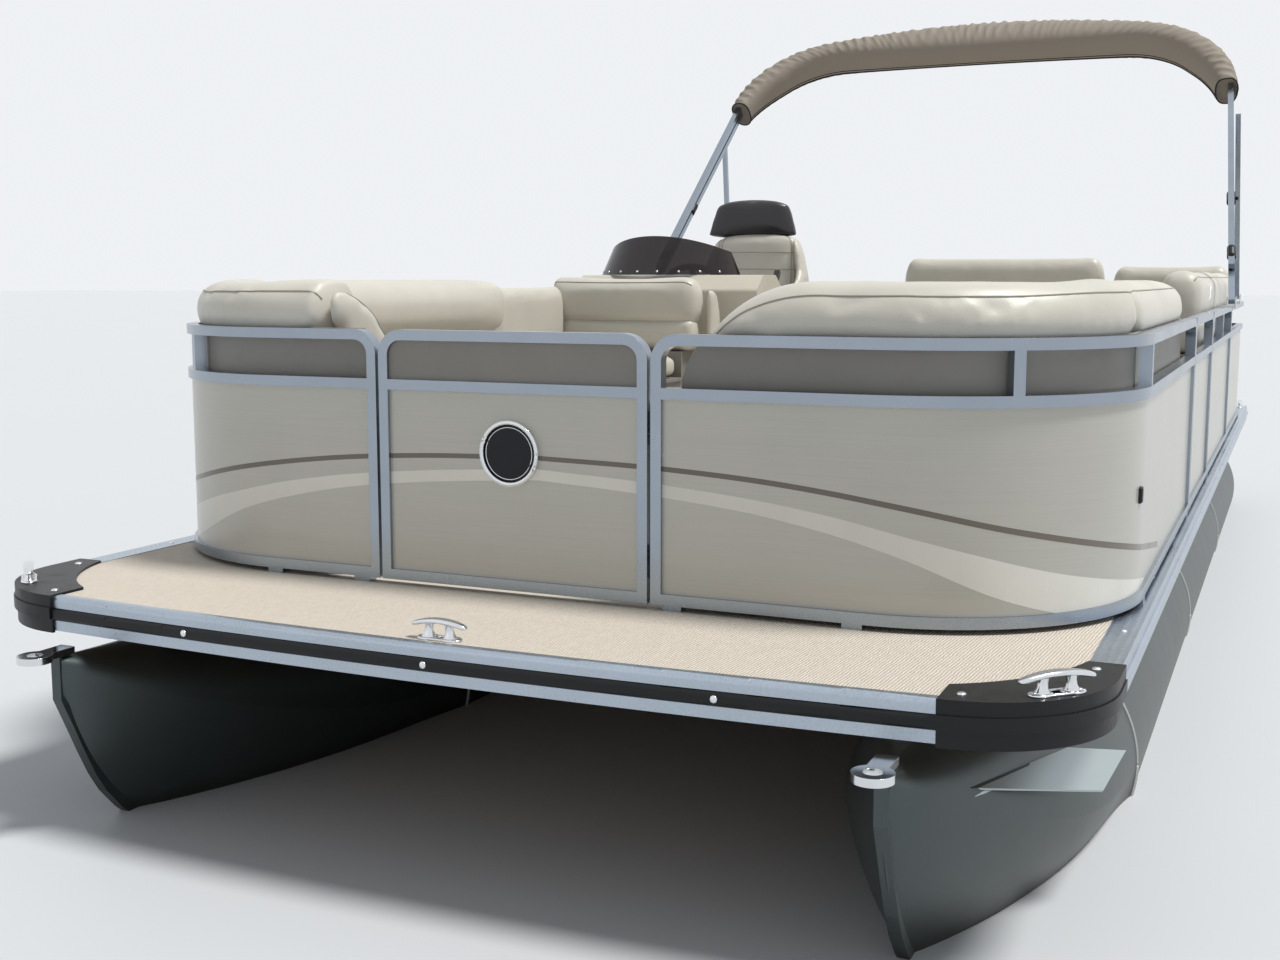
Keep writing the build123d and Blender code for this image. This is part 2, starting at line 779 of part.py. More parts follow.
def make_fence():
    """Three sections a side. Gives back the gates' halves of the hinges."""
    port_x = bow_gate_high_x + gate_gap
    starboard_x = -(bow_gate_low_x - gate_gap)
    stern_x = stern_gate_high_x + gate_gap
    stern_corner_x = -(stern_gate_low_x - gate_gap)
    bow_args = (fence_front_y, bow_corner_radius, 1)
    aft_args = (fence_aft_y, stern_corner_radius, -1)
    bow_post, bow_leaf = hinge_halves(*gate_hinges["bow"])
    side_post, side_leaf = hinge_halves(*gate_hinges["side"])
    stern_post, stern_leaf = hinge_halves(*gate_hinges["stern"])
    bow = corner_section(port_x, side_gate_fore_y - gate_gap, *bow_args, (), corner_post_turns)
    side = straight_section(side_gate_aft_y + gate_gap, side_joint_y, flange_top, (port_side_post_y,))
    stern = corner_section(stern_x, side_joint_y + section_gap, *aft_args, (stern_post_x,))
    write("fence_port", bow[0] + bow_post + side_post, side[0], stern[0])
    write("panels_port", bow[1], side[1], stern[1])
    bow = corner_section(starboard_x, starboard_joint_y, *bow_args, (), corner_post_turns)
    low = starboard_joint_y + section_gap
    side = straight_section(low, side_joint_y, flange_top, (starboard_side_post_y,))
    stern = corner_section(stern_corner_x, side_joint_y + section_gap, *aft_args, ())
    write("fence_starboard", mirrored(bow[0]), mirrored(side[0]), mirrored(stern[0]) + stern_post)
    write("panels_starboard", mirrored(bow[1]), mirrored(side[1]), mirrored(stern[1]))
    return bow_leaf, side_leaf, stern_leaf


def gate_leaf(width):
    """Gate frame and panel, drawn from x 0 to width with its outer face at y 0."""
    frame = end_post(0, 0, (1, 0), (0, 1)) + end_post(width, 0, (-1, 0), (0, 1))
    for low, high, short in rail_levels:
        frame = frame + block(short, width - short, 0, rail_depth, low, high)
    panel = block(
        rail_height, width - rail_height, panel_inset, panel_inset + panel_thickness,
        fence_bottom + rail_height, mid_top - rail_height,
    )
    return frame, panel


def make_gates(bow_leaf, side_leaf, stern_leaf):
    """Gates with their halves of the hinges, and the badge on the bow gate."""
    frame, panel = gate_leaf(bow_gate_high_x - bow_gate_low_x)
    place = Pos(bow_gate_low_x, fence_front_y, 0)
    write("bow_gate_frame", place * frame + bow_leaf)
    write("bow_gate_panel", place * panel)
    inner = bow_gate_high_x - bow_gate_low_x - rail_height
    infill = block(
        rail_height, inner, panel_inset, panel_inset + panel_thickness, mid_top, fence_top - rail_height,
    )
    corners = infill.edges().filter_by(Axis.Y).sort_by(Axis.Z)[-2:]
    infill = fillet(corners, post_bend - rail_height + clear)
    write("bow_gate_infill", place * infill)
    rim = Cylinder(badge_diameter / 2, badge_thickness)
    dish = Pos(0, 0, badge_thickness / 2 - 2) * Cylinder(badge_diameter / 2 - 9, 5)
    badge = rim - dish
    lift = Pos(badge_x, fence_front_y + panel_inset - badge_thickness / 2, badge_z)
    write("gate_badge", lift * Rot(90, 0, 0) * badge)
    frame, panel = gate_leaf(side_gate_aft_y - side_gate_fore_y)
    place = Pos(fence_half_width, side_gate_fore_y, 0) * Rot(0, 0, 90)
    write("side_gate_frame", place * frame + side_leaf)
    write("side_gate_panel", place * panel)
    frame, panel = gate_leaf(stern_gate_high_x - stern_gate_low_x)
    place = Pos(stern_gate_high_x, fence_aft_y, 0) * Rot(0, 0, 180)
    write("stern_gate_frame", place * frame + stern_leaf)
    write("stern_gate_panel", place * panel)


# Seats


def seat_base(low_y, high_y):
    """Locker along the port side, open at the top, with the riser that carries the back."""
    shell = block(lid_front + 10, seat_face, low_y, high_y, deck_top, locker_top)
    hollow = block(
        lid_front + 10 + seat_wall, seat_face - seat_wall, low_y + seat_wall, high_y - seat_wall,
        deck_top + seat_wall, locker_top + 1,
    )
    riser = block(seat_face, back_face, low_y, high_y, deck_top, back_bottom)
    return shell - hollow + riser


def corner_edge(solid, x, y):
    """Upright edge of a solid at a corner of its plan."""
    return solid.edges().filter_by(Axis.Z).sort_by_distance((x, y, seat_top))[0]


def rounded_front(solid, axis):
    """Cushion with the top edge on its low side rounded."""
    across_axis = Axis.X if axis == Axis.Y else Axis.Y
    edge = solid.edges().filter_by(axis).sort_by(Axis.Z)[-2:].sort_by(across_axis)[0]
    return fillet(edge, cushion_edge_radius)


def hinge_ears(levels_y):
    """Ears on the riser that hold the lid's pins."""
    parts = []
    x = seat_face - lid_gap / 2
    for y in levels_y:
        pin = rod((x, y - 9, seat_top), (x, y + 9, seat_top), hinge_pin_radius)
        ears = pin
        for side in (-1, 1):
            ears = ears + block(
                x - hinge_eye_radius, seat_face + 1, y + side * 7 - 2, y + side * 7 + 2,
                seat_top - hinge_eye_radius, seat_top + hinge_eye_radius - 1.5,
            )
        parts.append(ears)
    return parts


def seat_lid(low_y, high_y, hinges_y):
    """Lid board with its hinge lugs, and the cushion on it."""
    top = cushion_bottom
    board = block(lid_front, lid_rear, low_y, high_y, top - lid_board_thickness, top - clear)
    x = seat_face - lid_gap / 2
    for y in hinges_y:
        lug = block(x - 3, x + 3, y - 4.5, y + 4.5, top - lid_board_thickness, seat_top)
        lug = lug + rod((x, y - 4.5, seat_top), (x, y + 4.5, seat_top), hinge_eye_radius)
        arm = block(lid_rear - 1, x + 3, y - 4.5, y + 4.5, top - lid_board_thickness, top - clear)
        hole = rod((x, y - 6, seat_top), (x, y + 6, seat_top), hinge_pin_radius + running)
        board = board + arm + lug - hole
    cushion = block(lid_front, lid_rear, low_y, high_y, cushion_bottom, seat_top)
    return board, rounded_front(cushion, Axis.Y)


def seat_back(x0, x1, y0, y1, top, lengthways, low=back_bottom):
    """Back rest with both top edges rounded."""
    solid = block(x0, x1, y0, y1, low, top)
    axis = Axis.Y if lengthways else Axis.X
    edges = solid.edges().filter_by(axis).sort_by(Axis.Z)[-2:]
    return fillet(edges, back_edge_radius)


def side_roll(y0, y1, top):
    """Back rest along the side, whose upper part reaches out over the top rail."""
    low = fence_top + roll_above_rail
    upper = seat_back(seat_face, back_face + roll_overhang, y0, y1, top, True, low)
    return upper + block(seat_face, back_face, y0, y1, back_bottom, low + 1)


def corner_back(end_x, side_y, line_y, radius, way, top):
    """Back rest that turns a port corner, whose upper part reaches out over the top rail."""
    inset = rail_depth + fence_clearance
    inner = inset + seat_back_thickness
    low = fence_top + roll_above_rail
    plan = corner_band(end_x, side_y, inset - roll_overhang, inner, line_y, radius, way)
    solid = raise_face(plan, low, top)
    edges = solid.edges().sort_by(Axis.Z)[-8:]
    kept = [edge for edge in edges if edge.length > (seat_back_thickness + roll_overhang) * 1.02]
    plan = corner_band(end_x, side_y, inset, inner, line_y, radius, way)
    return fillet(kept, back_edge_radius) + raise_face(plan, back_bottom, low + 1)


def corner_base(end_x, side_y, line_y, radius, way, rise):
    """Riser below a back rest that turns a corner."""
    inset = rail_depth + fence_clearance
    plan = corner_band(end_x, side_y, inset, inset + seat_back_thickness, line_y, radius, way)
    return raise_face(plan, deck_top, rise)


def make_seats():
    inset = rail_depth + fence_clearance
    bow_face = fence_front_y + inset + seat_back_thickness
    corner_end = fence_front_y + bow_corner_radius
    bow_args = (fence_front_y, bow_corner_radius, 1)
    inner_round = bow_corner_radius - inset - seat_back_thickness - soft_gap
    lid_low = corner_end + lid_gap

    def bow_corner(start, back_start):
        """Block, riser, fixed cushion and back in the bow corner, from x start to the side."""
        base = block(start, seat_face, bow_face, corner_end, deck_top, locker_top)
        base = base + corner_base(back_start, corner_end, *bow_args, back_bottom)
        cushion = block(
            start, seat_face - soft_gap, bow_face + soft_gap, corner_end + soft_gap,
            locker_top + clear, seat_top,
        )
        cushion = fillet(corner_edge(cushion, seat_face, bow_face), inner_round)
        return base, cushion, corner_back(back_start, corner_end, *bow_args, back_top)

    # Port bow lounge
    high = port_seat_aft_y
    hinges = (lid_low + 300, high - 300)
    base, corner_cushion_port, front = bow_corner(port_seat_inner_x, port_seat_inner_x)
    base = base + seat_base(corner_end, high)
    write("seat_base_bow_port", *solids_of([base] + hinge_ears(hinges)))
    board, cushion = seat_lid(lid_low, high, hinges)
    write("lid_bow_port", board)
    write("cushion_bow_port", cushion)
    side = side_roll(corner_end + soft_gap, high, back_top - 10)
    write("backs_bow_port", front, side)

    # Starboard bow lounge, with a back across its aft end
    aft_back_y = starboard_seat_aft_y - seat_back_thickness
    high = aft_back_y - soft_gap
    hinges = (lid_low + 300, high - 300)
    start = lid_front + 10
    base, cushion, front = bow_corner(start, starboard_back_inner_x)
    corner_cushion_starboard = mirrored(cushion)
    base = base + seat_base(corner_end, starboard_seat_aft_y)
    base = base + block(start, back_face, aft_back_y, starboard_seat_aft_y, deck_top, back_bottom)
    write("seat_base_bow_starboard", *[mirrored(s) for s in solids_of([base] + hinge_ears(hinges))])
    board, cushion = seat_lid(lid_low, high, hinges)
    write("lid_bow_starboard", mirrored(board))
    write("cushion_bow_starboard", mirrored(cushion))
    side = side_roll(corner_end + soft_gap, starboard_roll_aft_y, back_top - 10)
    filler_face = back_face - corner_filler_depth
    filler = seat_back(filler_face, back_face, starboard_roll_aft_y + soft_gap, high, back_top - 25, True)
    aft = seat_back(starboard_aft_back_inner_x, back_face, aft_back_y, starboard_seat_aft_y, back_top, False)
    write("backs_bow_starboard", *[mirrored(piece) for piece in (front, side, filler, aft)])

    # Port aft lounge and the bench across the stern
    bench_face = fence_aft_y - inset - seat_back_thickness
    bench_front = bench_face - bench_depth
    back_aft = fence_aft_y - inset
    outer_round = stern_corner_radius - inset
    stern_x = stern_gate_high_x + gate_gap + rail_height
    low, high = aft_seat_fore_y, bench_front - soft_gap
    hinges = (low + 300, high - 300)
    base = seat_base(low, bench_front)
    base = base + block(stern_x, seat_face, bench_front, bench_face, deck_top, locker_top)
    riser = block(stern_x, back_face, bench_face, back_aft, deck_top, back_bottom)
    riser = fillet(corner_edge(riser, back_face, back_aft), outer_round)
    corner = block(seat_face, back_face, bench_front, bench_face, deck_top, back_bottom)
    write("seat_base_aft", *solids_of([base, riser, corner] + hinge_ears(hinges)))
    board, cushion = seat_lid(low, high, hinges)
    write("lid_aft_port", board)
    write("cushion_aft_port", cushion)
    bench = block(
        stern_x, seat_face - soft_gap, bench_front + soft_gap, bench_face - soft_gap,
        locker_top + clear, seat_top,
    )
    bench = rounded_front(bench, Axis.X)
    write("cushions_fixed", corner_cushion_port, corner_cushion_starboard, bench)
    side = seat_back(seat_face, back_face, low, bench_face - soft_gap, back_top - 10, True)
    split = seat_face - stern_corner_back
    stern = seat_back(stern_x, split, bench_face, back_aft, deck_top + stern_back_top, False)
    corner_top = back_top + stern_corner_rise
    corner = block(split + soft_gap, back_face, bench_face, back_aft, back_bottom, corner_top)
    corner = fillet(corner_edge(corner, back_face, back_aft), outer_round)
    top_edge = corner.edges().filter_by(Axis.X).sort_by(Axis.Z)[-2:].sort_by(Axis.Y)[0]
    write("backs_aft", side, stern, fillet(top_edge, back_edge_radius))


def solids_of(shapes):
    """Fuse what touches and give back the solids."""
    whole = shapes[0]
    for shape in shapes[1:]:
        whole = whole + shape
    return whole.solids()


# Console, helm and chair


def make_console():
    top = deck_top + console_height
    dash_low = top - dash_top_drop - dash_drop
    top_rear_y = console_front_y + console_top_rear
    side = [
        (console_front_y, deck_top), (console_front_y + 70, top - 60),
        (console_front_y + console_top_front, top), (top_rear_y, top),
        (console_aft_y, dash_low), (console_aft_y - 30, dash_low - 120),
        (console_aft_y - 130, dash_low - 160), (console_aft_y - 130, deck_top),
    ]
    body = across(side, console_low_x, console_high_x)
    corners = body.edges().filter_by(Axis.X).sort_by(Axis.Z)[-3:]
    write("console_body", fillet(corners, 22))
    run = Vector(0, console_aft_y - top_rear_y, dash_low - top)
    mid_y = top_rear_y + run.Y * 0.55
    mid_z = top + run.Z * 0.55
    angle = math.degrees(math.atan2(run.Z, run.Y))
    plate = Box(dash_width, run.length * 0.72, dash_plate_thickness)
    rise = dash_plate_thickness / 2 + clear
    centre_x = (console_low_x + console_high_x) / 2
    dash = Pos(centre_x, mid_y, mid_z) * Rot(angle, 0, 0) * Pos(0, 0, rise) * plate
    lever = Pos(console_high_x - 60, mid_y, mid_z) * Rot(angle, 0, 0) * Pos(0, 0, rise)
    dash = dash + lever * Box(70, 90, dash_plate_thickness) + lever * Pos(0, 0, 60) * Box(22, 22, 120)
    # Windscreen wrapped round the front of the console
    low = top + clear
    cone = Cone(windscreen_radius, windscreen_radius - windscreen_lean, windscreen_height)
    bore_radius = windscreen_radius - windscreen_thickness
    bore = Cone(bore_radius, bore_radius - windscreen_lean, windscreen_height)
    shell = Pos(0, 0, windscreen_height / 2) * (cone - bore)
    reach = windscreen_radius + 1
    shell = shell & block(-reach, reach, -reach, -windscreen_behind, -1, windscreen_height + 1)
    # Seen from ahead its top edge falls away to both sides
    brow = Plane.XZ * Ellipse(windscreen_radius * 1.06, windscreen_height)
    shell = shell & (Pos(0, reach, 0) * extrude(brow, amount=2 * reach))
    screen_y = console_front_y + windscreen_from_front + windscreen_radius
    write("windscreen", Pos(centre_x - windscreen_off_centre, screen_y, low) * shell)
    # Wheel on its column
    hub_y = console_aft_y + 10
    hub_z = dash_low + 60
    tilt = Pos(chair_x, hub_y, hub_z) * Rot(-(90 - wheel_tilt), 0, 0)
    rim = Torus(wheel_diameter / 2 - wheel_rim / 2, wheel_rim / 2)
    wheel = rim + Cylinder(wheel_hub_radius, 30)
    for spoke in range(3):
        bar = Pos(0, wheel_diameter / 4 - 4, 0) * Box(26, wheel_diameter / 2 - 24, 8)
        wheel = wheel + Rot(0, 0, 120 * spoke + 60) * bar
    bore = Cylinder(wheel_shaft_radius + running, 200)
    write("helm_wheel", tilt * (wheel - bore))
    shaft = tilt * Pos(0, 0, -40) * Cylinder(wheel_shaft_radius, 100)
    boss = tilt * Pos(0, 0, -62) * Cylinder(wheel_boss_radius, 80)
    write("dash", *(dash + shaft + boss - body).solids())


def make_chair():
    seat_low = deck_top + chair_seat_top - chair_seat_thickness
    plate_low = seat_low - chair_tray_drop
    swivel_low = plate_low - swivel_height
    base_z = deck_top + pedestal_base_height / 2
    base = Pos(chair_x, chair_y, base_z) * Cylinder(pedestal_base_radius, pedestal_base_height)
    post = rod((chair_x, chair_y, base_z), (chair_x, chair_y, swivel_low - clear), pedestal_radius)
    write("chair_pedestal", base + post)
    swivel = Pos(chair_x, chair_y, plate_low - swivel_height / 2) * Cylinder(swivel_radius, swivel_height)
    tray = block(
        chair_x - tray_half_width, chair_x + tray_half_width,
        chair_y - tray_half_length, chair_y + tray_half_length, plate_low, seat_low - clear,
    )
    write("chair_swivel", swivel + tray)
    half = chair_width / 2
    front = chair_y - chair_seat_depth / 2
    back_y = front + chair_seat_depth
    seat_half = half - chair_bolster_width
    chair_top = deck_top + chair_seat_top
    seat = block(chair_x - seat_half, chair_x + seat_half, front, back_y - 90, seat_low, chair_top)
    edges = seat.edges().filter_by(Axis.X).sort_by(Axis.Y)[:2]
    write("chair_seat", fillet(edges, 35))
    back_low = seat_low
    side = [
        (back_y - 90 + soft_gap, back_low), (back_y + 10, back_low),
        (back_y + 90, deck_top + chair_back_top),
        (back_y - 20, deck_top + chair_back_top),
    ]
    back = across(side, chair_x - half + 10, chair_x + half - 10)
    bolster = chair_bolster_width - soft_gap
    arm_top = chair_top + chair_arm_rise
    for low_x in (chair_x - half, chair_x + half - bolster):
        back = back + block(low_x, low_x + bolster, front + 60, back_y - 30, seat_low, arm_top)
    write("chair_back", back)
    head_low = deck_top + chair_back_top + clear
    lean = 14
    head = [
        (back_y - 24, head_low), (back_y + 92, head_low), (back_y + 92 + lean, head_low + headrest_height),
        (back_y - 10 + lean, head_low + headrest_height),
    ]
    rest = across(head, chair_x - half + 40, chair_x + half - 40)
    rounded = rest.edges().filter_by(Axis.X).sort_by(Axis.Z)[-2:]
    write("chair_headrest", fillet(rounded, 40))


# Bimini top


def arch(grow, crown_v):
    """Leg, corner, end and top points of an arch in the bow's plane, half of it, grown outward."""
    half = bimini_half_width + grow
    radius = bimini_corner + grow
    lean = math.radians(bimini_lean)
    low, high = math.radians(30), math.radians(89.5)
    # Angle each corner turns through, so that the crown arc runs smoothly into both corners
    for step in range(60):
        turn = (low + high) / 2
        u = half - radius * (1 - math.cos(turn))
        v = bimini_leg + radius * math.sin(turn)
        if v + u / math.cos(turn) * (1 - math.sin(turn)) > crown_v:
            low = turn
        else:
            high = turn
    points = []
    for angle in (lean, (lean + turn) / 2):
        points.append((half - radius * (1 - math.cos(angle)), bimini_leg + radius * math.sin(angle)))
    return points[0], points[1], (u, v), (0, crown_v)


def leg_x(v):
    """How far from the centreline a leg stands at a distance along it, for the legs lean inboard."""
    leg = arch(0, bimini_crown)[0]
    return leg[0] + (leg[1] - v) * math.tan(math.radians(bimini_lean))


def in_bow_plane(u, v, lift):
    """Place of a point of the bow's plane, lifted by a distance square to it."""
    angle = math.radians(bimini_angle)
    y = bimini_foot_y + v * math.cos(angle) - lift * math.sin(angle)
    z = fence_top + bimini_foot_rise + v * math.sin(angle) + lift * math.cos(angle)
    return (u, y, z)


def swept_bow(v_start, lift, width):
    """Square tube along legs, corners and crown."""
    leg, corner, end, top = arch(0, bimini_crown)

    def at(point, side):
        return in_bow_plane(side * point[0], point[1], lift)

    foot_point = (leg_x(v_start), v_start)
    wire = Wire([
        Line(at(foot_point, -1), at(leg, -1)),
        ThreePointArc(at(leg, -1), at(corner, -1), at(end, -1)),
        ThreePointArc(at(end, -1), at(top, 1), at(end, 1)),
        ThreePointArc(at(end, 1), at(corner, 1), at(leg, 1)),
        Line(at(leg, 1), at(foot_point, 1)),
    ])
    angle = math.radians(bimini_angle)
    normal = (0, -math.sin(angle), math.cos(angle))
    plane = Plane(origin=wire @ 0, x_dir=normal, z_dir=wire % 0)
    return sweep(plane.location * Rectangle(width, width), path=wire)


def make_boot():
    """Packed canvas in its boot, a band in the bow's plane that narrows to its ends."""
    outer = arch(boot_outside, bimini_crown + boot_outside)
    inner = arch(boot_outside - boot_end_width, bimini_crown + boot_outside - boot_width)
    edges = []
    for leg, corner, end, top in (outer, inner):
        edges.append(ThreePointArc((-end[0], end[1]), top, end))
        for side in (-1, 1):
            a, b, c = [(side * u, v) for u, v in (leg, corner, end)]
            edges.append(ThreePointArc(a, b, c))
    for side in (-1, 1):
        edges.append(Line((side * outer[0][0], outer[0][1]), (side * inner[0][0], inner[0][1])))
    solid = extrude(make_face(edges), amount=boot_thickness, dir=(0, 0, 1))
    rims = solid.edges().filter_by(GeomType.CIRCLE)
    solid = fillet(rims, boot_end_width * 0.45)
    angle = math.radians(bimini_angle)
    normal = Vector(0, -math.sin(angle), math.cos(angle))
    origin = in_bow_plane(0, 0, (second_bow_offset - boot_thickness) / 2)
    frame = Plane(origin=origin, x_dir=(1, 0, 0), z_dir=normal)
    return frame.location * solid


def make_bimini():
    bows = swept_bow(-bimini_heel, 0, bimini_tube)
    bows = bows + swept_bow(bimini_second_start, second_bow_offset, bimini_tube)
    rivet_v = bimini_second_start + 15
    foot_z = fence_top + bimini_foot_rise
    for side in (-1, 1):
        x = side * leg_x(rivet_v)
        low, high = in_bow_plane(x, rivet_v, 10), in_bow_plane(x, rivet_v, second_bow_offset - 10)
        bows = bows + rod(low, high, 6)
        x = side * leg_x(0)
        hole = rod(
            (x - 30, bimini_foot_y, foot_z), (x + 30, bimini_foot_y, foot_z), bimini_pin_radius + running,
        )
        bows = bows - hole
    write("bimini_bows", bows)
    boot = make_boot()
    boot = boot - swept_bow(0, 0, bimini_tube + 2 * clear)
    boot = boot - swept_bow(bimini_second_start, second_bow_offset, bimini_tube + 2 * clear)
    write("bimini_boot", boot)
    # Mounts on the top rail, each a saddle, two cheeks and a pin
    mounts = []
    braces = []
    cheek_wall = 4
    saddle_drop = 12
    for side in (-1, 1):
        for y, half, tube in (
            (bimini_foot_y, leg_x(0), bimini_tube), (brace_foot_y, brace_half_width, brace_tube),
        ):
            x = side * half
            cheek = tube / 2 + 2.5
            low = foot_z - tube / 2 - saddle_drop
            inner = side * (fence_half_width - rail_depth)
            wide = (x - cheek - cheek_wall, x + cheek + cheek_wall, inner, side * fence_half_width)
            mount = block(min(wide), max(wide), y - 28, y + 28, fence_top + clear, low)
            mount = mount + rod((wide[0], y, foot_z), (wide[1], y, foot_z), bimini_pin_radius)
            for way in (-1, 1):
                a, b = sorted((x + way * cheek, x + way * (cheek + cheek_wall)))
                mount = mount + block(a, b, y - 16, y + 16, low - 1, foot_z + 10)
            mounts.append(mount)
        x = side * brace_half_width
        top = in_bow_plane(x - side * brace_top_inboard, brace_reach, 0)
        start = (x, brace_foot_y, foot_z)
        reach = Vector(*top) - Vector(*start)
        frame = Plane(origin=start, x_dir=(1, 0, 0), z_dir=reach)
        heel = bimini_heel - 2
        pole = Box(brace_tube, brace_tube, reach.length + heel)
        pole = frame.location * Pos(0, 0, (reach.length - heel) / 2) * pole
        hole = rod(
            (x - 30, brace_foot_y, foot_z), (x + 30, brace_foot_y, foot_z), bimini_pin_radius + running,
        )
        braces.append(pole - hole)
    write("bimini_mounts", *mounts)
    write("bimini_braces", *braces)


# Outboard motor


def make_motor():
    tilt_y = transom_y - transom_thickness - tilt_ahead
    steer_y = transom_y + steer_behind_transom
    axis_z = tilt_axis_z
    # Clamp bracket: two cheeks over the transom, a foot each and the tilt tube
    cheeks = None
    for side in (-1, 1):
        x0, x1 = sorted((side * 105, side * 135))
        side_view = [
            (tilt_y - 25, axis_z + 25), (transom_y + 45, axis_z + 25), (transom_y + 45, transom_top_z - 340),
            (transom_y + clear, transom_top_z - 340), (transom_y + clear, transom_top_z + clear),
            (transom_y - transom_thickness - clear, transom_top_z + clear),
            (transom_y - transom_thickness - clear, transom_top_z - 40), (tilt_y - 25, transom_top_z - 40),
        ]
        cheek = across(side_view, x0, x1)
        cheeks = cheek if cheeks is None else cheeks + cheek
    tube = rod((-150, tilt_y, axis_z), (150, tilt_y, axis_z), 14)
    write("motor_bracket", cheeks + tube)
    # Swivel bracket between the cheeks
    bore = rod((-200, tilt_y, axis_z), (200, tilt_y, axis_z), 14.05)
    wide_end = steer_y - 70
    side_view = [
        (tilt_y - 24, axis_z - 24), (tilt_y - 24, axis_z + 24), (wide_end, axis_z + 40),
        (wide_end, 160), (transom_y + 14, 160), (transom_y + 14, axis_z - 30),
    ]
    swivel = across(side_view, -99, 99) - bore
    swivel = swivel + block(-36, 36, wide_end - 1, steer_y, 70, axis_z + 40)
    swivel = swivel + rod((0, steer_y, 60), (0, steer_y, axis_z + 40), 38)
    shaft_hole = rod((0, steer_y, 0), (0, steer_y, axis_z + 60), 20 + running)
    write("motor_swivel", swivel - shaft_hole)
    # Leg: steering shaft, drive shaft housing, plate, gear case and skeg
    shaft = rod((0, steer_y, 20), (0, steer_y, cowl_bottom_z - 20), 20)
    head = block(-120, 120, steer_y - 110, steer_y + 330, axis_z + 48, cowl_bottom_z - clear)
    leg_y = steer_y + 45
    rows = [
        (axis_z + 50, leg_y, 80.0, 300.0), (100.0, leg_y, 62.0, 230.0),
        (cavitation_plate_z + 12, leg_y, 45.0, 210.0),
    ]
    sections = []
    for z, y0, half, length in rows:
        sections.append(Pos(0, y0 + length / 2, z) * RectangleRounded(2 * half, length, half * 0.8))
    housing = loft(sections)
    foot_arm = block(-45, 45, steer_y - 30, leg_y + 80, 18, 55)
    plate = raise_face(
        Pos(0, steer_y + 190) * RectangleRounded(230, 480, 90), cavitation_plate_z, cavitation_plate_z + 12,
    )
    strut_rows = [
        (cavitation_plate_z + 2, leg_y + 10, 40.0, 230.0), (propeller_axis_z, leg_y - 10, 30.0, 240.0),
        (skeg_bottom_z, leg_y + 90, 5.0, 120.0),
    ]
    faces = []
    for z, y0, half, length in strut_rows:
        faces.append(Pos(0, y0 + length / 2, z) * RectangleRounded(2 * half, length, half * 0.8))
    strut = loft(faces)
    nose_y = steer_y - 70
    tail_y = steer_y + 330
    profile = make_face([
        ThreePointArc((nose_y, 0), (nose_y + 40, 38), (nose_y + 120, 58)),
        Line((nose_y + 120, 58), (tail_y - 60, 58)),
        Line((tail_y - 60, 58), (tail_y, 50)),
        Line((tail_y, 50), (tail_y, 0)),
        Line((tail_y, 0), (nose_y, 0)),
    ])
    case = revolve(profile, Axis.X)
    case = Pos(0, 0, propeller_axis_z) * Rot(0, 0, 90) * case
    prop_shaft = rod((0, tail_y - 10, propeller_axis_z), (0, tail_y + 150, propeller_axis_z), 12)
    leg = shaft + head + housing + foot_arm + plate + strut + case + prop_shaft
    write("motor_leg", leg)
    # Cowl over the power head
    cowl_mid = steer_y + (cowl_back - cowl_front) / 2
    length = cowl_back + cowl_front
    rows = [
        (cowl_bottom_z, 0.80, 0.90, 0.0), (cowl_bottom_z + 110, 0.98, 1.0, 0.0),
        (cowl_top_z - 130, 0.94, 0.94, -8.0), (cowl_top_z, 0.62, 0.70, -20.0),
    ]
    sections = []
    for z, wide, long, shift in rows:
        w = 2 * cowl_half_width * wide
        sections.append(Pos(0, cowl_mid + shift, z) * RectangleRounded(w, length * long, w * 0.38))
    shell = loft(sections, ruled=True)
    room = block(-140, 140, steer_y - 60, steer_y + 380, cowl_bottom_z - 1, cowl_top_z - 110)
    write("motor_cowl", shell - room)
    engine = block(-130, 130, steer_y - 50, steer_y + 370, cowl_bottom_z + clear, cowl_top_z - 120)
    write("motor_engine", engine)
    # Propeller
    hub_low = tail_y + clear
    hub_length = 110
    hub = rod((0, hub_low, propeller_axis_z), (0, hub_low + hub_length, propeller_axis_z), hub_radius)
    blade_reach = propeller_diameter / 2
    propeller = hub
    for index in range(blade_count):
        blade = Pos(0, 0, (hub_radius + blade_reach) / 2 - 6) * Rot(0, 0, 0) * Rot(0, 90, 0)
        leaf = extrude(Ellipse((blade_reach - hub_radius + 24) / 2, 62), amount=5, both=True)
        pitch = Rot(0, 0, 62)
        turned = pitch * (blade * leaf)
        spun = Rot(0, 360 / blade_count * index, 0) * turned
        spun = Pos(0, hub_low + hub_length / 2, propeller_axis_z) * spun
        propeller = propeller + spun
    bore = rod((0, hub_low - 5, propeller_axis_z), (0, hub_low + hub_length + 5, propeller_axis_z), 12.05)
    write("propeller", propeller - bore)


# Stern ladder


def ladder_frame(z0, z1, y, half):
    """Two upright rails and the treads between them."""
    parts = None
    for side in (-1, 1):
        x = ladder_x + side * half
        rail = rod((x, y, z0), (x, y, z1), ladder_tube / 2)
        parts = rail if parts is None else parts + rail
    for index in range(tread_count):
        z = z0 + (z1 - z0) * (index + 0.6) / tread_count
        parts = parts + block(ladder_x - half, ladder_x + half, y - 12, y + 12, z - 16, z + 16)
    return parts


